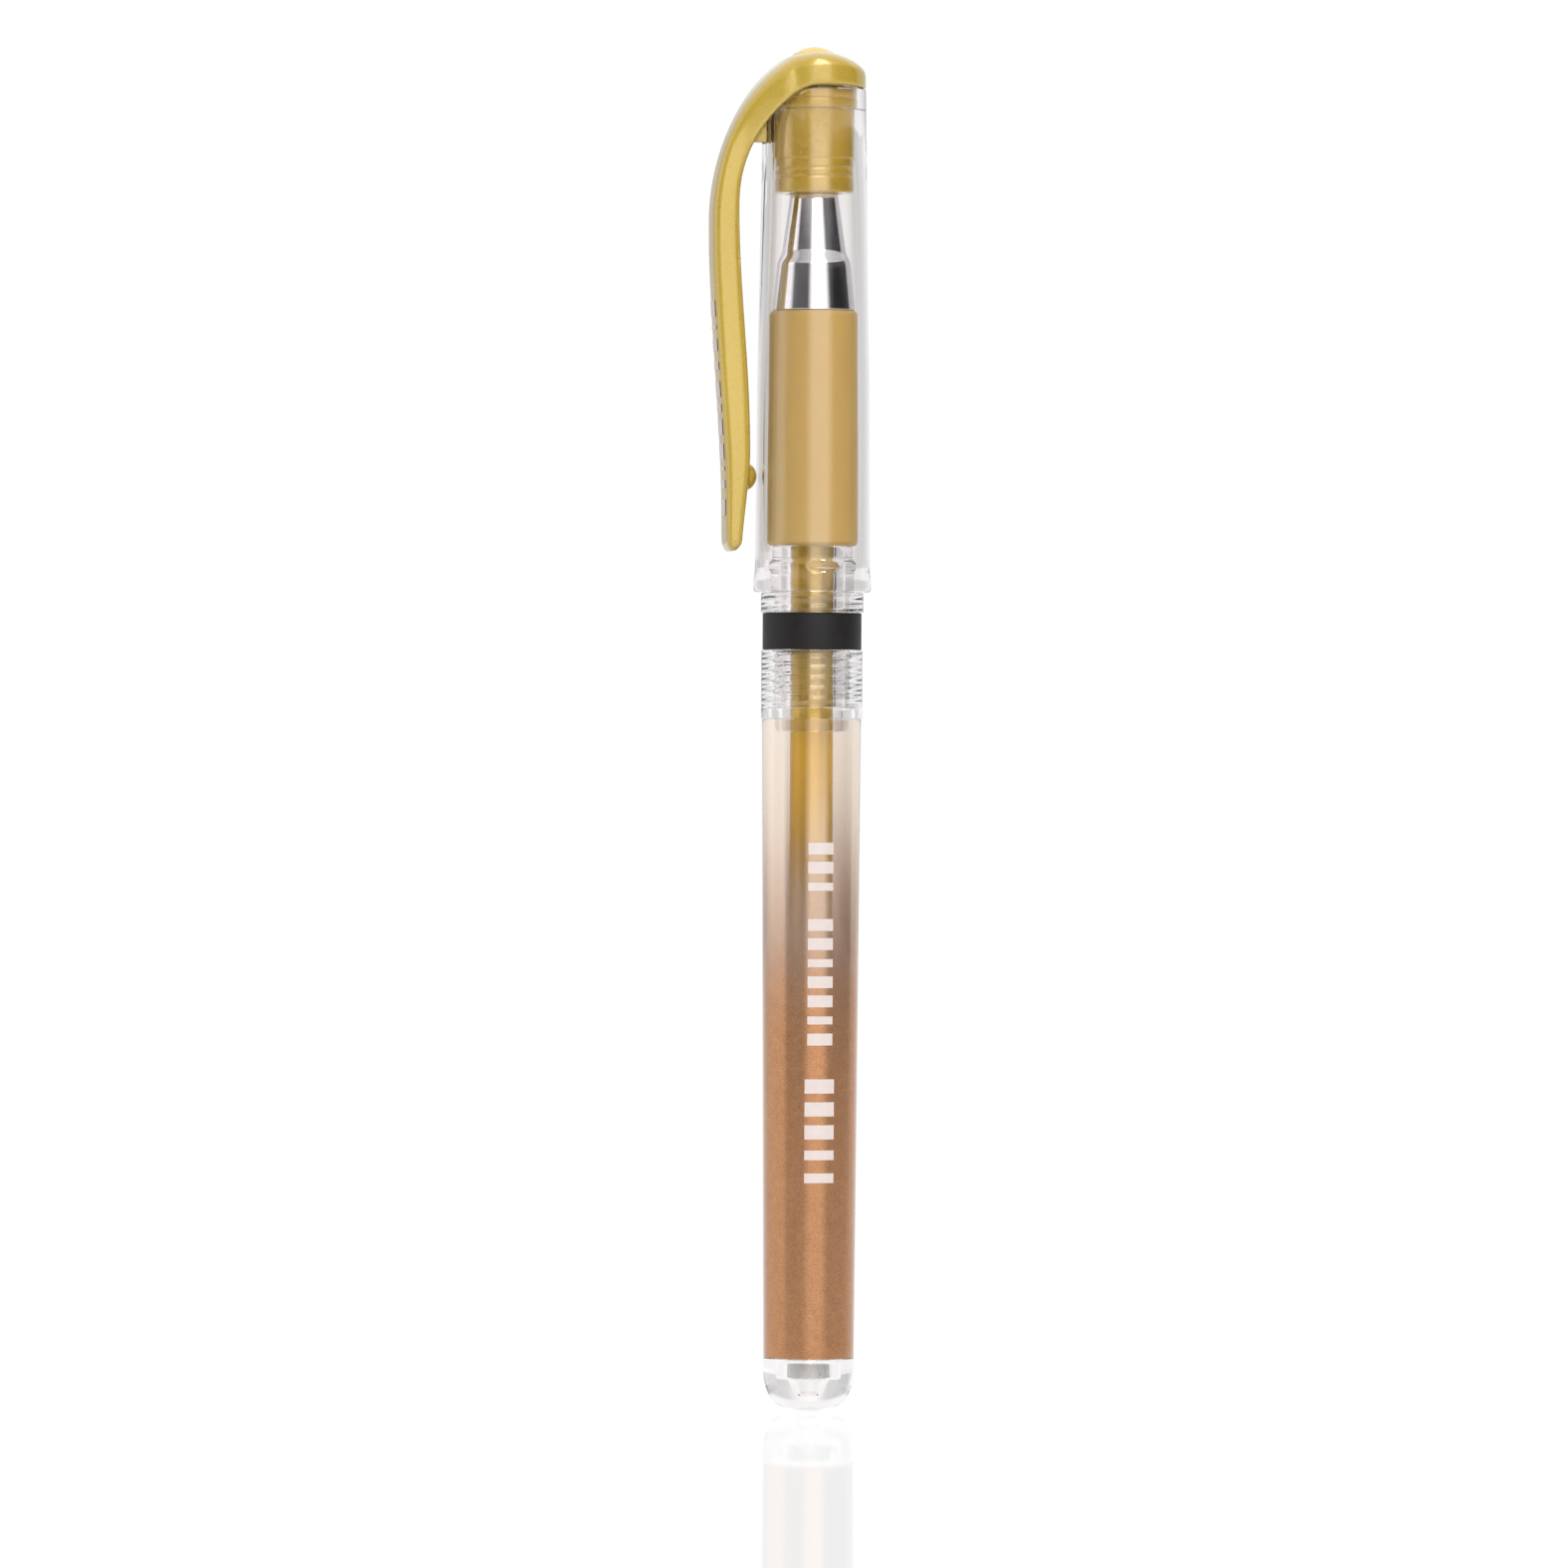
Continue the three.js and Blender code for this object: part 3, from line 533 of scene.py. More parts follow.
def threadCollar():
    spigotRadius = barrel["bore"] - collar["fit"]
    bore = thread["nut"]
    bandRear, bandFront = zSpan("band_ring")
    groove = collar["rearRadius"] - collar["bandDepth"]
    floor = collarRear + collar["floor"]
    bm = turned([
        (spigotRadius - collar["spigotWall"], spigotRear, 0.15),
        (spigotRadius, spigotRear, 0.25),
        (spigotRadius, collarRear, 0.05),
        (collar["rearRadius"], collarRear, 0.1),
        (collar["rearRadius"], bandRear - gap, 0.06),
        (groove, bandRear - gap, 0.05),
        (groove, bandFront + gap, 0.05),
        (collar["frontRadius"], bandFront + gap, 0.06),
        (collar["frontRadius"], collarFront, 0.12),
        *fineRows(bore, collarFront, floor),
        (spigotRadius - collar["spigotWall"], floor, 0.1),
    ])
    depth = thread["core"] + thread["height"] + thread["clearance"] - bore
    cutThread(bm, bore, depth, thread["clearance"], thread["nutLead"], thread["nutRunOut"])
    return bm


piece("threadCollar", threadCollar(), clearBody, "barrel", ["thread_collar"], 50)


def bandRing():
    bandRear, bandFront = zSpan("band_ring")
    outer = reach("band_ring")
    wall = 0.28
    return turned([
        (outer - wall, bandRear, 0.04),
        (outer, bandRear, 0.07),
        (outer, bandFront, 0.07),
        (outer - wall, bandFront, 0.04),
    ])


piece("blackBand", bandRing(), blackBand, "barrel", ["band_ring"])


print("front section, grip and cone")
section = {
    "bore": 2.45,
    "flange": 4.56,
    "flangeLength": 2.04,
    "bead": reach("front_section"),
    "beadLength": 1.5,
    "neck": 4.35,
    "core": 4.0,
    "spigotBore": 3.33,
    "spigotLength": 5.26,
    "beadRise": 0.35,
}
gripRear, gripFront = zSpan("grip_sleeve")
grip = {
    "rearRadius": reach("grip_sleeve"),
    "frontRadius": 4.79,
    "bore": 4.05,
    "edge": 0.3,
    "crownZone": 9,
    "rearBelly": 0.02,
    "frontBelly": 0.04,
}
coneRear, coneTip = zSpan("nose_cone")


def frontSection():
    face = collarFront + gap
    bead = face + section["flangeLength"]
    neck = bead + section["beadLength"]
    bm = turned([
        (section["bore"], sectionRear, 0.12),
        *fineRows(thread["core"], sectionRear, face),
        (section["flange"], face, 0.12),
        (section["flange"], bead, 0.25),
        (section["bead"], bead + section["beadRise"], 0.25),
        (section["bead"], neck - section["beadRise"], 0.3),
        (section["neck"], neck, 0.3),
        (section["neck"], gripRear - gap, 0.15),
        (section["core"], gripRear - gap, 0.08),
        (section["core"], sectionFront, 0.1),
        (section["spigotBore"], sectionFront, 0.1),
        (section["spigotBore"], sectionFront - section["spigotLength"], 0.1),
        (section["bore"], sectionFront - section["spigotLength"], 0.1),
    ])
    cutThread(bm, thread["core"], thread["height"], 0, 0, 0)
    return bm


piece("frontSection", frontSection(), clearBody, "section", ["front_section"], 50)


def gripSleeve():
    edge = grip["edge"]
    return turned([
        (grip["bore"], gripRear, 0.05),
        (grip["rearRadius"] - edge, gripRear, 0.05),
        (grip["rearRadius"], gripRear + edge, 0.25),
        (grip["rearRadius"] - grip["rearBelly"], gripRear + grip["crownZone"]),
        (grip["frontRadius"] + grip["frontBelly"], gripFront - grip["crownZone"]),
        (grip["frontRadius"], gripFront - edge, 0.25),
        (grip["frontRadius"] - edge, gripFront, 0.05),
        (grip["bore"], gripFront, 0.05),
    ])


piece("gripSleeve", gripSleeve(), gripGoldBrightened, "section", ["grip_sleeve"])

cone = {
    "spigot": 3.3,
    "back": reach("nose_cone"),
    "shoulder": 4.0,
    "shoulderLength": 5.2,
    "step": 3.5,
    "stepLength": 1.1,
    "tip": 1.7,
    "mouth": 1.17,
    "narrow": 1.74,
    "mouthDepth": 6.0,
    "narrowDepth": 15.71,
    "mouthSlope": 0.6,
    "boreSlope": 1.0,
}


def noseCone():
    back = gripFront + gap
    shoulder = back + cone["shoulderLength"]
    taper = shoulder + cone["stepLength"]
    return turned([
        (section["bore"], coneRear, 0.1),
        (cone["spigot"], coneRear, 0.15),
        (cone["spigot"], back, 0.1),
        (cone["back"], back, 0.12),
        (cone["shoulder"], shoulder, 0.35),
        (cone["step"], taper, 0.3),
        (cone["tip"], coneTip, 0.25),
        (cone["mouth"], coneTip, 0.1),
        (cone["mouth"], coneTip - cone["mouthDepth"], 0.2),
        (cone["narrow"], coneTip - cone["mouthDepth"] - cone["mouthSlope"], 0.2),
        (cone["narrow"], coneTip - cone["narrowDepth"], 0.3),
        (section["bore"], coneTip - cone["narrowDepth"] - cone["boreSlope"], 0.3),
    ])


piece("noseCone", noseCone(), brightMetal, "section", ["nose_cone"])


print("refill")
refill = {
    "wall": 0.38,
    "rows": 24,
    "pointBore": 0.8,
    "holderNose": 1.62,
    "holderLength": 2.4,
    "holderSlope": 0.5,
    "channel": 0.36,
    "socket": 0.54,
    "lip": 0.72,
    "pointCone": 2.85,
    "fit": 0.03,
    "steps": 96,
}
refillRear, refillFront = zSpan("refill_tube")
refillRadius = reach("refill_tube")
inkRear, inkFront = zSpan("ink_column")
inkRadius = reach("ink_column")
refillTubeFinish = inkMaterial(inkRear, inkFront)


def refillTube():
    bore = refillRadius - refill["wall"]
    rows = refill["rows"]
    outline = [(bore, refillRear, 0.05)]
    for row in range(rows + 1):
        fillet = 0.1 if row in (0, rows) else 0
        outline.append((refillRadius, refillRear + (refillFront - refillRear) * row / rows, fillet))
    outline.append((bore, refillFront, 0.05))
    return turned(outline, refill["steps"])


def plainRod(node, bulge):
    # bulge: how far its two faces stand in, as a liquid wets the wall
    rear, front = zSpan(node)
    radius = reach(node)
    return turned([
        (0, rear + bulge),
        (radius * 0.55, rear + bulge * 0.7),
        (radius, rear, 0.06),
        (radius, front, 0.06),
        (radius * 0.55, front - bulge * 0.7),
        (0, front - bulge),
    ], refill["steps"])


def pointHolder():
    rear, tip = zSpan("point_holder")
    shoulder = refillFront + gap
    nose = shoulder + refill["holderLength"]
    bore = reach("writing_point") + refill["fit"]
    tail = zSpan("writing_point")[0] - gap
    return turned([
        (refill["pointBore"], rear, 0.05),
        (inkRadius, rear, 0.15),
        (inkRadius, shoulder, 0.05),
        (refillRadius, shoulder, 0.08),
        (refillRadius, nose - refill["holderSlope"], 0.2),
        (refill["holderNose"], nose, 0.2),
        (refill["holderNose"], tip, 0.2),
        (bore, tip, 0.1),
        (bore, tail, 0.05),
        (refill["pointBore"], tail, 0.05),
    ], refill["steps"])


def writingPoint():
    tail, lip = zSpan("writing_point")
    radius = reach("writing_point")
    ball = zSpan("point_ball")[0] + reach("point_ball")
    seat = ball - refill["socket"] - 0.02
    return turned([
        (refill["channel"], tail, 0.05),
        (radius, tail, 0.1),
        (radius, lip - refill["pointCone"], 0.25),
        (refill["lip"], lip, 0.06),
        (refill["socket"] - 0.01, lip, 0.03),
        (refill["socket"], ball),
        (refill["socket"] * 0.8, ball - refill["socket"] * 0.6),
        (refill["channel"], seat),
    ], 64)


def coilSpring():
    # winds a wire round the channel with the screw form of spin, one turn at a time
    rear, front = zSpan("point_spring")
    wire = 0.07
    turns = 6
    stepsPerTurn = 24
    pitch = (front - rear - 2 * wire) / turns
    bm = bmesh.new()
    ring = bmesh.ops.create_circle(bm, segments=10, radius=wire * mm)["verts"]
    bmesh.ops.rotate(bm, verts=ring, cent=(0, 0, 0), matrix=Matrix.Rotation(math.pi / 2, 3, "X"))
    bmesh.ops.translate(bm, verts=ring, vec=((reach("point_spring") - wire) * mm, 0, (rear + wire) * mm))
    bmesh.ops.spin(bm, geom=bm.verts[:] + bm.edges[:], cent=(0, 0, 0), axis=(0, 0, 1),
                   dvec=(0, 0, pitch * mm / stepsPerTurn), angle=2 * math.pi * turns,
                   steps=stepsPerTurn * turns)
    bmesh.ops.holes_fill(bm, edges=[edge for edge in bm.edges if edge.is_boundary], sides=0)
    bmesh.ops.recalc_face_normals(bm, faces=bm.faces)
    return bm


def pointBall():
    low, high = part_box("point_ball")
    bm = bmesh.new()
    bmesh.ops.create_uvsphere(bm, u_segments=32, v_segments=20, radius=(high.z - low.z) / 2)
    bmesh.ops.translate(bm, verts=bm.verts, vec=(low + high) / 2)
    return bm


piece("refillTube", refillTube(), refillTubeFinish, "refill", ["refill_tube"])
piece("inkColumn", plainRod("ink_column", 0.4), inkGold, "refill", ["ink_column"])
piece("inkFollower", plainRod("ink_follower", 0.5), grease, "refill", ["ink_follower"])
piece("pointHolder", pointHolder(), whiteHolder, "refill", ["point_holder"])
piece("writingPoint", writingPoint(), pointMetal, "refill", ["writing_point"])
piece("pointSpring", coilSpring(), springMetal, "refill", ["point_spring"])
piece("pointBall", pointBall(), ballMetal, "ball", ["point_ball"])


print("inner cap and seal")
flangeTop = 143.22
inner = {
    "flange": reach("inner_cap"),
    "flangeLength": 2.1,
    "body": 4.36,
    "stem": 2.4,
    "mouth": 3.0,
    "mouthDepth": 0.6,
    "fit": 0.12,
    "skirt": 3.8,
    "tipRoom": 1.9,
    "button": 0.58,
    "buttonRim": 0.26,
    "skirtInset": 0.1,
    "grooves": (1.05, 1.95),
    "groove": 0.15,
    "flangeGroove": 0.95,
}


def coneRadiusAt(z):
    taper = gripFront + gap + cone["shoulderLength"] + cone["stepLength"]
    return cone["step"] + (cone["tip"] - cone["step"]) * (z - taper) / (coneTip - taper)


def innerCap():
    mouth, top = zSpan("inner_cap")
    sealTop = zSpan("tip_seal")[1] + gap
    flange = flangeTop - inner["flangeLength"]
    rib = mouth + inner["skirt"]
    seat = coneTip + inner["fit"]
    body = inner["body"]
    crown = top - inner["button"]
    inset = inner["skirtInset"]
    grooves = []
    for below in reversed(inner["grooves"]):
        front = rib - below
        rear = front - inner["groove"]
        grooves += [(body - inset, rear - 0.1, 0.06), (body - 2 * inset, rear, 0.04),
                    (body - 2 * inset, front, 0.04), (body - inset, front + 0.1, 0.06)]
    lens = [(inner["stem"] * share, top - (inner["button"] + inner["buttonRim"]) * share ** 2)
            for share in (0.96, 0.88, 0.76, 0.6, 0.4, 0.2)]
    notch = flange + inner["flangeGroove"]
    return turned([
        (0, sealTop),
        (inner["tipRoom"], sealTop, 0.08),
        (inner["tipRoom"], seat, 0.05),
        (coneRadiusAt(coneTip) + inner["fit"], seat, 0.05),
        (coneRadiusAt(mouth + inner["mouthDepth"]) + inner["fit"], mouth + inner["mouthDepth"], 0.1),
        (inner["mouth"], mouth, 0.12),
        (body - 2.2 * inset, mouth, 0.1),
        (body - inset, mouth + 0.2, 0.08),
        *grooves,
        (body - inset, rib - 0.15, 0.06),
        (body, rib, 0.08),
        (body, flange, 0.08),
        (inner["flange"], flange, 0.1),
        (inner["flange"], notch, 0.05),
        (inner["flange"] - inset, notch + 0.05, 0.05),
        (inner["flange"] - inset, notch + 0.15, 0.05),
        (inner["flange"], notch + 0.2, 0.05),
        (inner["flange"], flangeTop, 0.12),
        (inner["stem"], flangeTop, 0.15),
        (inner["stem"], crown - 0.3, 0.1),
        *lens,
        (0, top),
    ])


piece("innerCap", innerCap(), innerMouldedBrightened, "cap", ["inner_cap"])
piece("tipSeal", plainRod("tip_seal", 0), sealRubber, "cap", ["tip_seal"])


print("cap tube")
capMouth, capEdge = zSpan("cap_tube")
capShape = {
    "bore": 5.3,
    "mouth": reach("cap_tube"),
    "skirt": 6.17,
    "skirtLength": 8.3,
    "body": 6.1,
    "straight": 13.0,
    "top": 5.58,
    "topBore": 4.67,
    "ledgeBore": 4.41,
    "stepLength": 2.4,
    "bumpWidth": 3.4,
    "bumpHeight": 1.4,
    "bumpDepth": 0.33,
    "bumps": 3,
    "bumpRow": 0.1,
    "bumpRows": 25,
    "cutReach": 14,
    "lidFit": 0.1,
    "slotFit": 0.1,
    "topFit": 0.1,
}
capTop = capEdge + capShape["topFit"]
clipTip = zSpan("clip_arm")[0]
clipShape = {
    "width": 4.4,
    "bowOuter": -11.45,
    "bowInner": -8.5,
    "bowZ": capTop - 14.9,
    "waistOuter": -9.86,
    "waistInner": -7.2,
    "waistZ": clipTip + 11.0,
    "tipInner": -8.0,
    "start": 3.0,
    "crownBack": -0.8,
    "crownHeight": 4.0,
    "rimSteps": 39,
    "rimStep": 2.5,
    "rootX": -7.05,
    "webWidth": 2.2,
    "webDrop": 5.95,
    "webTop": 2.0,
    "webInner": -4.95,
    "bossRadius": 1.7,
    "bossX": -7.95,
    "bossZ": capMouth + 12.5,
    "flareStart": -9.5,
    "sag": 2.1,
    "stations": 110,
    "sides": 40,
    "armSquare": 4.5,
    "topSquare": 2.6,
    "underSquare": 12,
    "tipClose": 0.35,
    "voxel": 0.135,
    "smoothing": 10,
    "pocketFit": 0.05,
    "pocketDrop": 20,
    "pocketRise": 5,
    "dashLow": 97.0,
    "dashes": [1.9, 1.4, 0.8, 1.9, 1.9, 1.0, 1.9, 1.4, 1.9, 0.8, 1.9],
    "dashGap": 0.65,
    "dashWidth": 2.2,
    "dashRise": 0.05,
    "dashPath": 400,
    "dashSkip": 3,
}
crownTop = capTop + clipShape["crownHeight"]
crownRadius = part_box("clip_crown")[1].x / mm


def underCrown():
    # inner edge of the clip and underside of the crown, from the waist of the clip to the far side
    shape = clipShape
    points = bezier((shape["waistInner"], shape["waistZ"]), (shape["waistInner"], shape["waistZ"] + 9.5),
                    (shape["bowInner"], shape["bowZ"] - 6.5), (shape["bowInner"], shape["bowZ"] + 2.5))
    points += bezier((shape["bowInner"], shape["bowZ"] + 2.5), (shape["bowInner"], shape["bowZ"] + 9.5),
                     (shape["crownBack"] - 2.6, capTop), (shape["crownBack"], capTop))
    points.append((shape["crownBack"], capTop))
    return points


def innerLine():
    # from the crown to the tip
    shape = clipShape
    points = bezier((shape["tipInner"], clipTip + 2.0), (shape["tipInner"] + 0.4, clipTip + 6.0),
                    (shape["waistInner"], shape["waistZ"] - 2.5), (shape["waistInner"], shape["waistZ"]), 12)
    points = [(shape["tipInner"] - 0.5, clipTip + 0.12), (shape["tipInner"] - 0.1, clipTip + 0.8)] + points
    return (points + underCrown())[::-1]


def outerLine():
    shape = clipShape
    points = [(shape["crownBack"] * k, crownHeight(shape["crownBack"] * k)) for k in (1, 2, 3)]
    points += bezier((-shape["start"], crownHeight(-shape["start"])), (-shape["start"] - 4.3, capTop + 0.85),
                     (shape["bowOuter"] - 0.15, shape["bowZ"] + 8.5), (shape["bowOuter"], shape["bowZ"]), 20)
    points += bezier((shape["bowOuter"], shape["bowZ"]), (shape["bowOuter"], shape["bowZ"] - 9.5),
                     (shape["waistOuter"], shape["waistZ"] + 2.0), (shape["waistOuter"], clipTip + 4.0), 20)
    points += bezier((shape["waistOuter"], clipTip + 4.0), (shape["waistOuter"], clipTip + 1.4),
                     (shape["waistOuter"] + 0.05, clipTip + 0.2), (shape["waistOuter"] + 0.35, clipTip), 10)
    points.append((shape["waistOuter"] + 0.35, clipTip))
    return points


def capTube():
    shape = capShape
    ledge = flangeTop - inner["flangeLength"] - gap
    rib = zSpan("inner_cap")[0] + inner["skirt"]
    bodyZ = capMouth + shape["skirtLength"] + shape["straight"]
    bump = (collarFront + gap + section["flangeLength"]) + section["beadLength"] / 2
    bumpReach = shape["bumpRow"] * (shape["bumpRows"] - 1) / 2
    bumpRows = [(shape["bore"], bump + bumpReach - shape["bumpRow"] * row)
                for row in range(shape["bumpRows"])]
    bm = turned([
        (shape["bore"], capMouth, 0.2),
        (shape["mouth"] - 0.1, capMouth, 0.15),
        (shape["mouth"], capMouth + 0.35, 0.25),
        (shape["mouth"] - 0.03, capMouth + 1.3, 0.3),
        (shape["mouth"] - 0.16, capMouth + 2.4, 0.6),
        (shape["skirt"], capMouth + shape["skirtLength"], 2.0),
        (shape["body"], bodyZ, 2.0),
        (shape["top"], capEdge, 0.05),
        (shape["topBore"], capEdge, 0.05),
        (shape["topBore"], ledge, 0.06),
        (shape["ledgeBore"], ledge, 0.06),
        (shape["ledgeBore"], rib, 0.15),
        (shape["ledgeBore"] + 0.26, rib - shape["stepLength"], 0.3),
        (shape["bore"], bodyZ, 2.0),
        *bumpRows,
    ])
    for vert in bm.verts:
        x, y, z = vert.co / mm
        radius = math.hypot(x, y)
        if abs(radius - shape["bore"]) > wallMatch or abs(z - bump) > bumpReach + wallMatch:
            continue
        turn = math.atan2(x, -y) / (2 * math.pi) * shape["bumps"]
        across = (turn - round(turn)) * 2 * math.pi / shape["bumps"] * radius
        far = math.hypot(across / (shape["bumpWidth"] / 2), (z - bump) / (shape["bumpHeight"] / 2))
        if far < 1:
            sink = shape["bumpDepth"] * (1 - far ** 2) ** 0.75
            vert.co.x *= (radius - sink) / radius
            vert.co.y *= (radius - sink) / radius
    obj = meshObject("capTube", bm)
    points = [(x, z - shape["lidFit"]) for x, z in underCrown()]
    far = shape["cutReach"]
    lid = plate(points + [(far, capTop - shape["lidFit"]), (far, crownTop + far), (-far, crownTop + far),
                          (-far, points[0][1])], far)
    cutAway(obj, meshObject("lid", lid))
    slotHalf = clipShape["webWidth"] / 2 + shape["slotFit"]
    slot = block((-far, -slotHalf, capTop - clipShape["webDrop"] - shape["slotFit"]),
                 (clipShape["webInner"] + shape["slotFit"], slotHalf, capTop + far))
    cutAway(obj, meshObject("slot", slot))
    dress(obj, [clearCap], 40)
    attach(obj, "cap")
    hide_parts("cap_tube")
    return obj


capTube()


print("crown and clip")


def along(points, count):
    # evenly spaced points on a polyline
    lengths = [0]
    for a, b in zip(points, points[1:]):
        lengths.append(lengths[-1] + math.dist(a, b))
    spaced = []
    k = 0
    for i in range(count):
        want = lengths[-1] * i / (count - 1)
        while k < len(points) - 2 and lengths[k + 1] < want:
            k += 1
        share = (want - lengths[k]) / (lengths[k + 1] - lengths[k])
        spaced.append(Vector(points[k]).lerp(Vector(points[k + 1]), share))
    return spaced


def ease(value, low, high):
    share = min(max((value - low) / (high - low), 0), 1)
    return share * share * (3 - 2 * share)


def flare(x):
    # half the width seen from above: the clip widens smoothly into the round crown
    shape = clipShape
    if x > -shape["start"]:
        return math.sqrt(max(crownRadius ** 2 - x ** 2, 0.01))
    crownSide = math.sqrt(crownRadius ** 2 - shape["start"] ** 2)
    armSide = shape["width"] / 2
    return armSide + (crownSide - armSide) * ease(x, shape["flareStart"], -shape["start"])


def crownHeight(x):
    # height of the crown's top line, an arc that reaches the rim at the crown's edge
    sag = clipShape["sag"]
    arc = (crownRadius ** 2 + sag ** 2) / (2 * sag)
    return crownTop - arc + math.sqrt(arc ** 2 - x ** 2)


def clipStations():
    # pairs of points on the outer and inner lines, from the far rim of the crown to the tip of the clip
    pairs = []
    for step in range(clipShape["rimSteps"]):
        x = crownRadius * math.cos(math.radians((step + 1) * clipShape["rimStep"]))
        pairs.append((Vector((x, crownHeight(x))), Vector((x, capTop))))
    arm = zip(along(outerLine(), clipShape["stations"]), along(innerLine(), clipShape["stations"]))
    return pairs + list(arm)


def sweptClip():
    # a rounded section led from the crown's far rim down to the tip, between the outer and inner lines
    shape = clipShape
    bm = bmesh.new()
    ring = bmesh.ops.create_circle(bm, cap_ends=True, segments=shape["sides"], radius=1)["verts"]
    face = list(bm.faces)[0]
    angles = [math.atan2(vert.co.y, vert.co.x) for vert in ring]
    stations = clipStations()
    for i, (out, low) in enumerate(stations):
        if i > 0:
            grown = bmesh.ops.extrude_face_region(bm, geom=[face])
            face = [item for item in grown["geom"] if isinstance(item, bmesh.types.BMFace)][0]
            ring = list(face.verts)
        middle = (out + low) / 2
        half = (out - low) / 2
        width = flare(middle.x)
        onCrown = ease(middle.x, shape["flareStart"], -shape["start"] + 1)
        close = 1 - shape["tipClose"] * max(0, 1 - (len(stations) - 1 - i) / 2) ** 2
        for vert, angle in zip(ring, angles):
            crownSquare = shape["topSquare"] if math.cos(angle) > 0 else shape["underSquare"]
            squareness = shape["armSquare"] + (crownSquare - shape["armSquare"]) * onCrown
            thick = math.copysign(abs(math.cos(angle)) ** (2 / squareness), math.cos(angle)) * close
            side = math.copysign(abs(math.sin(angle)) ** (2 / squareness), math.sin(angle)) * close
            place = middle + half * thick
            vert.co = Vector((place.x, side * width, place.y)) * mm
    bmesh.ops.recalc_face_normals(bm, faces=bm.faces)
    return bm


def clipAndCrown():
    shape = clipShape
    crown = meshObject("clipAndCrown", sweptClip())
    boss = bmesh.new()
    bmesh.ops.create_uvsphere(boss, u_segments=40, v_segments=24, radius=shape["bossRadius"] * mm)
    bmesh.ops.translate(boss, verts=boss.verts, vec=(shape["bossX"] * mm, 0, shape["bossZ"] * mm))
    web = block((shape["rootX"], -shape["webWidth"] / 2, capTop - shape["webDrop"]),
                (shape["webInner"], shape["webWidth"] / 2, capTop - shape["webTop"]))
    joined = bmesh.new()
    joined.from_mesh(crown.data)
    for part in (web, boss):
        extra = bpy.data.meshes.new("extra")
        part.to_mesh(extra)
        part.free()
        joined.from_mesh(extra)
        bpy.data.meshes.remove(extra)
    joined.to_mesh(crown.data)
    joined.free()
    remesh = crown.modifiers.new("remesh", "REMESH")
    remesh.mode = "VOXEL"
    remesh.voxel_size = shape["voxel"] * mm
    bakeModifiers(crown)
    pocketRadius = inner["flange"] + shape["pocketFit"]
    stemRadius = inner["stem"] + shape["pocketFit"]
    below = clipTip + shape["pocketDrop"]
    above = crownTop + shape["pocketRise"]
    pocket = turned([(0, below), (pocketRadius, below), (pocketRadius, flangeTop + gap),
                     (stemRadius, flangeTop + gap), (stemRadius, above), (0, above)])
    cutAway(crown, meshObject("pocket", pocket))
    smooth = crown.modifiers.new("smooth", "SMOOTH")
    smooth.factor = 0.5
    smooth.iterations = shape["smoothing"]
    bakeModifiers(crown)
    return crown


def clipDashes():
    # plain raised dashes along the outer face of the clip
    shape = clipShape
    path = along(outerLine(), shape["dashPath"])
    bm = bmesh.new()
    low = shape["dashLow"]
    for i, tall in enumerate(shape["dashes"]):
        high = low + tall
        rows = [point for point in path if low <= point.y <= high][::shape["dashSkip"]]
        low = high + shape["dashGap"]
        before = None
        for point in rows:
            x = (point.x - shape["dashRise"]) * mm
            edge = [bm.verts.new((x, side * shape["dashWidth"] / 2 * mm, point.y * mm))
                    for side in (-1, 0, 1)]
            if before:
                for k in range(2):
                    bm.faces.new((before[k], before[k + 1], edge[k + 1], edge[k]))
            before = edge
    bmesh.ops.recalc_face_normals(bm, faces=bm.faces)
    return bm


clip = clipAndCrown()
dress(clip, [moulded], 180)
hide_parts("clip_crown", "clip_arm")
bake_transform(clip)
piece("clipDashes", clipDashes(), whitePrint, "clip", [])


print("printed bars")
prints = {
    "groups": [
        {"low": 39.4, "high": 62.1, "width": 2.8, "bars": "wnwwnww nww"},
        {"low": 24.2, "high": 36.6, "width": 3.3, "bars": "nnwww"},
    ],
    "shares": {"w": 0.62, "n": 0.42},  # of a step, for a wide and a narrow bar
    "thickness": 0.03,
}


def barrelRadiusAt(z):
    part = (z - barrelRear) / (barrelFront - barrelRear)
    return barrel["rearRadius"] + (barrel["frontRadius"] - barrel["rearRadius"]) * part


def printedBars():
    # plain bars across the barrel, in two groups, wrapped on its front
    bm = bmesh.new()
    for group in prints["groups"]:
        step = (group["high"] - group["low"]) / len(group["bars"])
        for i, kind in enumerate(group["bars"]):
            if kind == " ":
                continue
            tall = step * prints["shares"][kind]
            grid = bmesh.ops.create_grid(bm, x_segments=14, y_segments=6, size=0.5)["verts"]
            bmesh.ops.scale(bm, verts=grid, vec=(group["width"], tall, 1))
            bmesh.ops.translate(bm, verts=grid, vec=(0, group["low"] + step * (i + 0.5), 0))
    for vert in bm.verts:
        across, z, _ = vert.co
        radius = barrelRadiusAt(z) + prints["thickness"]
        angle = across / radius
        vert.co = Vector((radius * math.sin(angle), -radius * math.cos(angle), z)) * mm
    bmesh.ops.recalc_face_normals(bm, faces=bm.faces)
    return bm


piece("printedBars", printedBars(), whitePrint, "barrel", [])


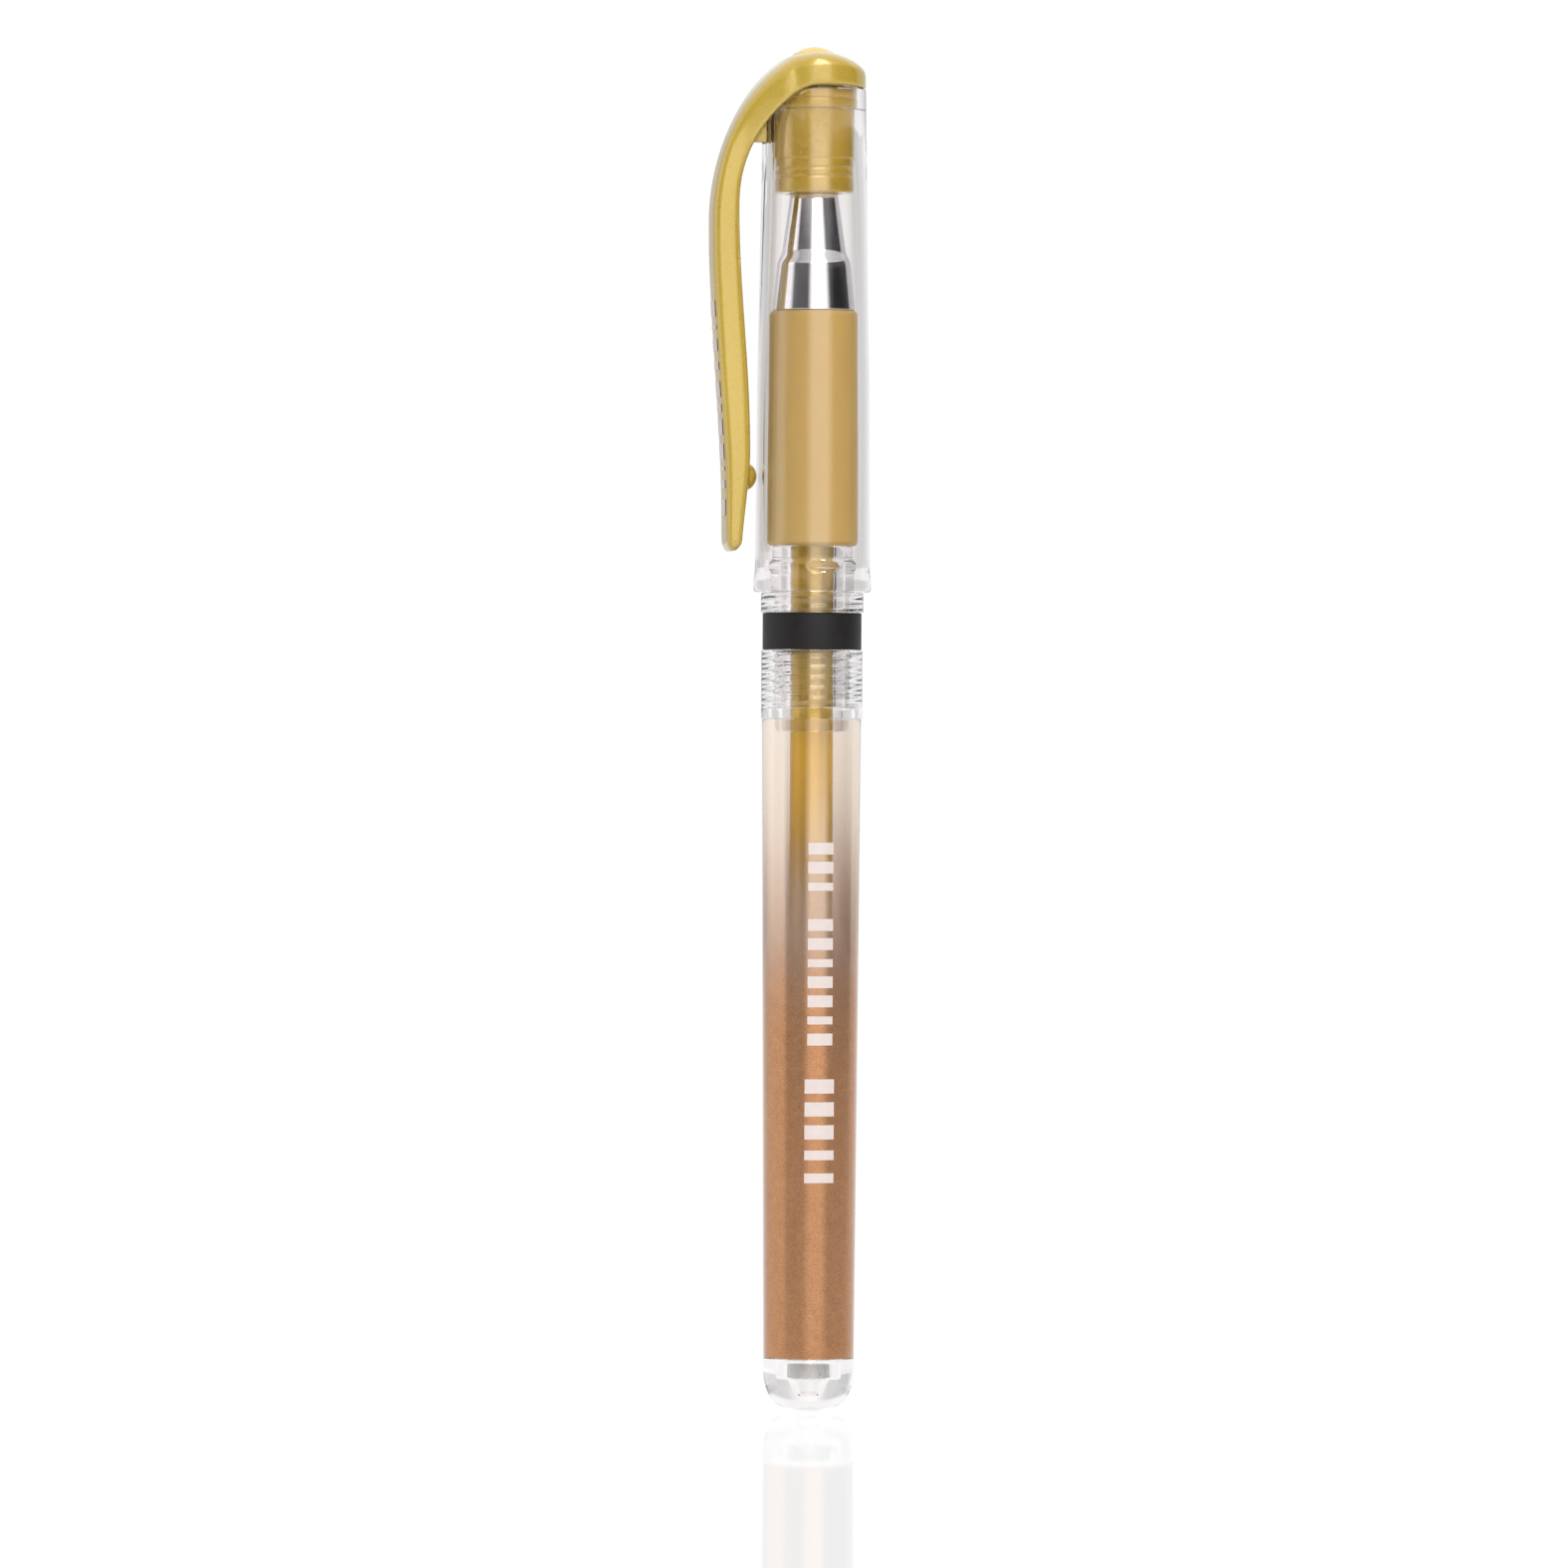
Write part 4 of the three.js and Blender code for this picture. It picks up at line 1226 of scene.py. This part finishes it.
print("studio")
studio = {
    "azimuth": -12.0,
    "elevation": 0.23,
    "distance": 1.0,
    "lens": 211.5,
    "aim": (-2.96, 68.0),
    "roll": 0.28,
    "floorGlow": 0.86,
    "floorShine": 0.15,
    "floorReach": 1.6,
    "brightest": 6.5,
    "background": 1.02,
    "overheadFrom": 0.36,
    "overheadTo": 0.44,
    # degrees from the camera, and how bright the ring of light is there, level with the pen and above it
    "level": [(-180, 1.02), (-171, 1.0), (-162, 0.7), (-132, 0.62), (-106, 1.2), (-68, 1.35), (-57, 0.14),
              (-16, 0.12), (-1, 1.75), (31, 1.75), (46, 0.03), (106, 0.02), (116, 0.6), (160, 0.75),
              (171, 1.0), (180, 1.02)],
    "above": [(-180, 1.0), (-118, 1.0), (-104, 0.8), (-66, 0.8), (-56, 0.5), (-10, 0.8), (-2, 6.5), (32, 6.5),
              (44, 0.8), (108, 0.6), (120, 1.0), (180, 1.0)],
}


def buildCamera():
    azimuth = math.radians(studio["azimuth"])
    elevation = math.radians(studio["elevation"])
    side, height = studio["aim"]
    across = Vector((math.cos(azimuth), math.sin(azimuth), 0))
    away = Vector((math.sin(azimuth) * math.cos(elevation), -math.cos(azimuth) * math.cos(elevation),
                   math.sin(elevation)))
    target = across * side * mm + Vector((0, 0, height * mm))
    data = bpy.data.cameras.new("camera")
    data.lens = studio["lens"]
    data.sensor_width = 36
    data.clip_start = 0.01
    camera = bpy.data.objects.new("camera", data)
    camera.location = target + away * studio["distance"]
    turn = away.to_track_quat("Z", "Y")
    roll = Matrix.Rotation(math.radians(studio["roll"]), 3, "Z")
    camera.rotation_euler = (turn.to_matrix() @ roll).to_euler()
    bpy.context.scene.collection.objects.link(camera)
    bpy.context.scene.camera = camera


def buildFloor():
    bm = bmesh.new()
    bmesh.ops.create_grid(bm, x_segments=1, y_segments=1, size=studio["floorReach"])
    floor = meshObject("floor", bm)
    material = bpy.data.materials.new("paleFloor")
    material.use_nodes = True
    nodes = material.node_tree.nodes
    links = material.node_tree.links
    nodes.remove(nodes["Principled BSDF"])
    glow = nodes.new("ShaderNodeEmission")
    glow.inputs["Strength"].default_value = studio["floorGlow"]
    shine = nodes.new("ShaderNodeBsdfGlossy")
    level = studio["floorShine"]
    shine.inputs["Color"].default_value = (level, level, level, 1)
    shine.inputs["Roughness"].default_value = 0.03
    both = nodes.new("ShaderNodeAddShader")
    links.new(glow.outputs[0], both.inputs[0])
    links.new(shine.outputs[0], both.inputs[1])
    links.new(both.outputs[0], nodes["Material Output"].inputs["Surface"])
    floor.data.materials.append(material)


def buildLight():
    # soft boxes round the pen, as two rings of brightness
    brightest = studio["brightest"]
    world = bpy.data.worlds.new("studio")
    bpy.context.scene.world = world
    world.use_nodes = True
    nodes = world.node_tree.nodes
    links = world.node_tree.links
    back = nodes["Background"]

    def calc(operation, first, second=0.5):
        node = nodes.new("ShaderNodeMath")
        node.operation = operation
        for socket, value in zip(node.inputs, (first, second)):
            if hasattr(value, "is_output"):
                links.new(value, socket)
            else:
                socket.default_value = value
        return node.outputs[0]

    place = nodes.new("ShaderNodeTexCoord").outputs["Generated"]
    split = nodes.new("ShaderNodeSeparateXYZ")
    links.new(place, split.inputs[0])
    angle = calc("ARCTAN2", split.outputs[0], calc("MULTIPLY", split.outputs[1], -1))
    fromCamera = calc("SUBTRACT", calc("DIVIDE", angle, 2 * math.pi), studio["azimuth"] / 360)
    share = calc("FRACT", calc("ADD", fromCamera, 0.5))

    def ring(stopsWanted):
        ramp = nodes.new("ShaderNodeValToRGB")
        links.new(share, ramp.inputs[0])
        stops = ramp.color_ramp.elements
        for i, (degrees, bright) in enumerate(stopsWanted):
            value = bright / brightest
            if i == 0 or i == len(stopsWanted) - 1:
                stop = stops[0 if i == 0 else len(stops) - 1]
                stop.position = 0 if i == 0 else 1
            else:
                stop = stops.new(degrees / 360 + 0.5)
            stop.color = (value, value, value, 1)
        return ramp.outputs[0]

    overhead = nodes.new("ShaderNodeMapRange")
    links.new(split.outputs[2], overhead.inputs["Value"])
    overhead.inputs["From Min"].default_value = studio["overheadFrom"]
    overhead.inputs["From Max"].default_value = studio["overheadTo"]
    mixed = nodes.new("ShaderNodeMix")
    mixed.data_type = "RGBA"
    links.new(overhead.outputs[0], mixed.inputs[0])
    links.new(ring(studio["level"]), mixed.inputs[6])
    links.new(ring(studio["above"]), mixed.inputs[7])
    links.new(mixed.outputs[2], back.inputs["Color"])
    back.inputs["Strength"].default_value = brightest
    plain = nodes.new("ShaderNodeBackground")
    plain.inputs["Color"].default_value = (1, 1, 1, 1)
    plain.inputs["Strength"].default_value = studio["background"]
    path = nodes.new("ShaderNodeLightPath")
    choose = nodes.new("ShaderNodeMixShader")
    links.new(path.outputs["Is Camera Ray"], choose.inputs[0])
    links.new(back.outputs[0], choose.inputs[1])
    links.new(plain.outputs[0], choose.inputs[2])
    links.new(choose.outputs[0], nodes["World Output"].inputs["Surface"])


buildCamera()
buildFloor()
buildLight()
scene = bpy.context.scene
scene.view_settings.view_transform = "Standard"
scene.cycles.transmission_bounces = 28
scene.cycles.transparent_max_bounces = 28
scene.cycles.max_bounces = 32
scene.cycles.glossy_bounces = 10
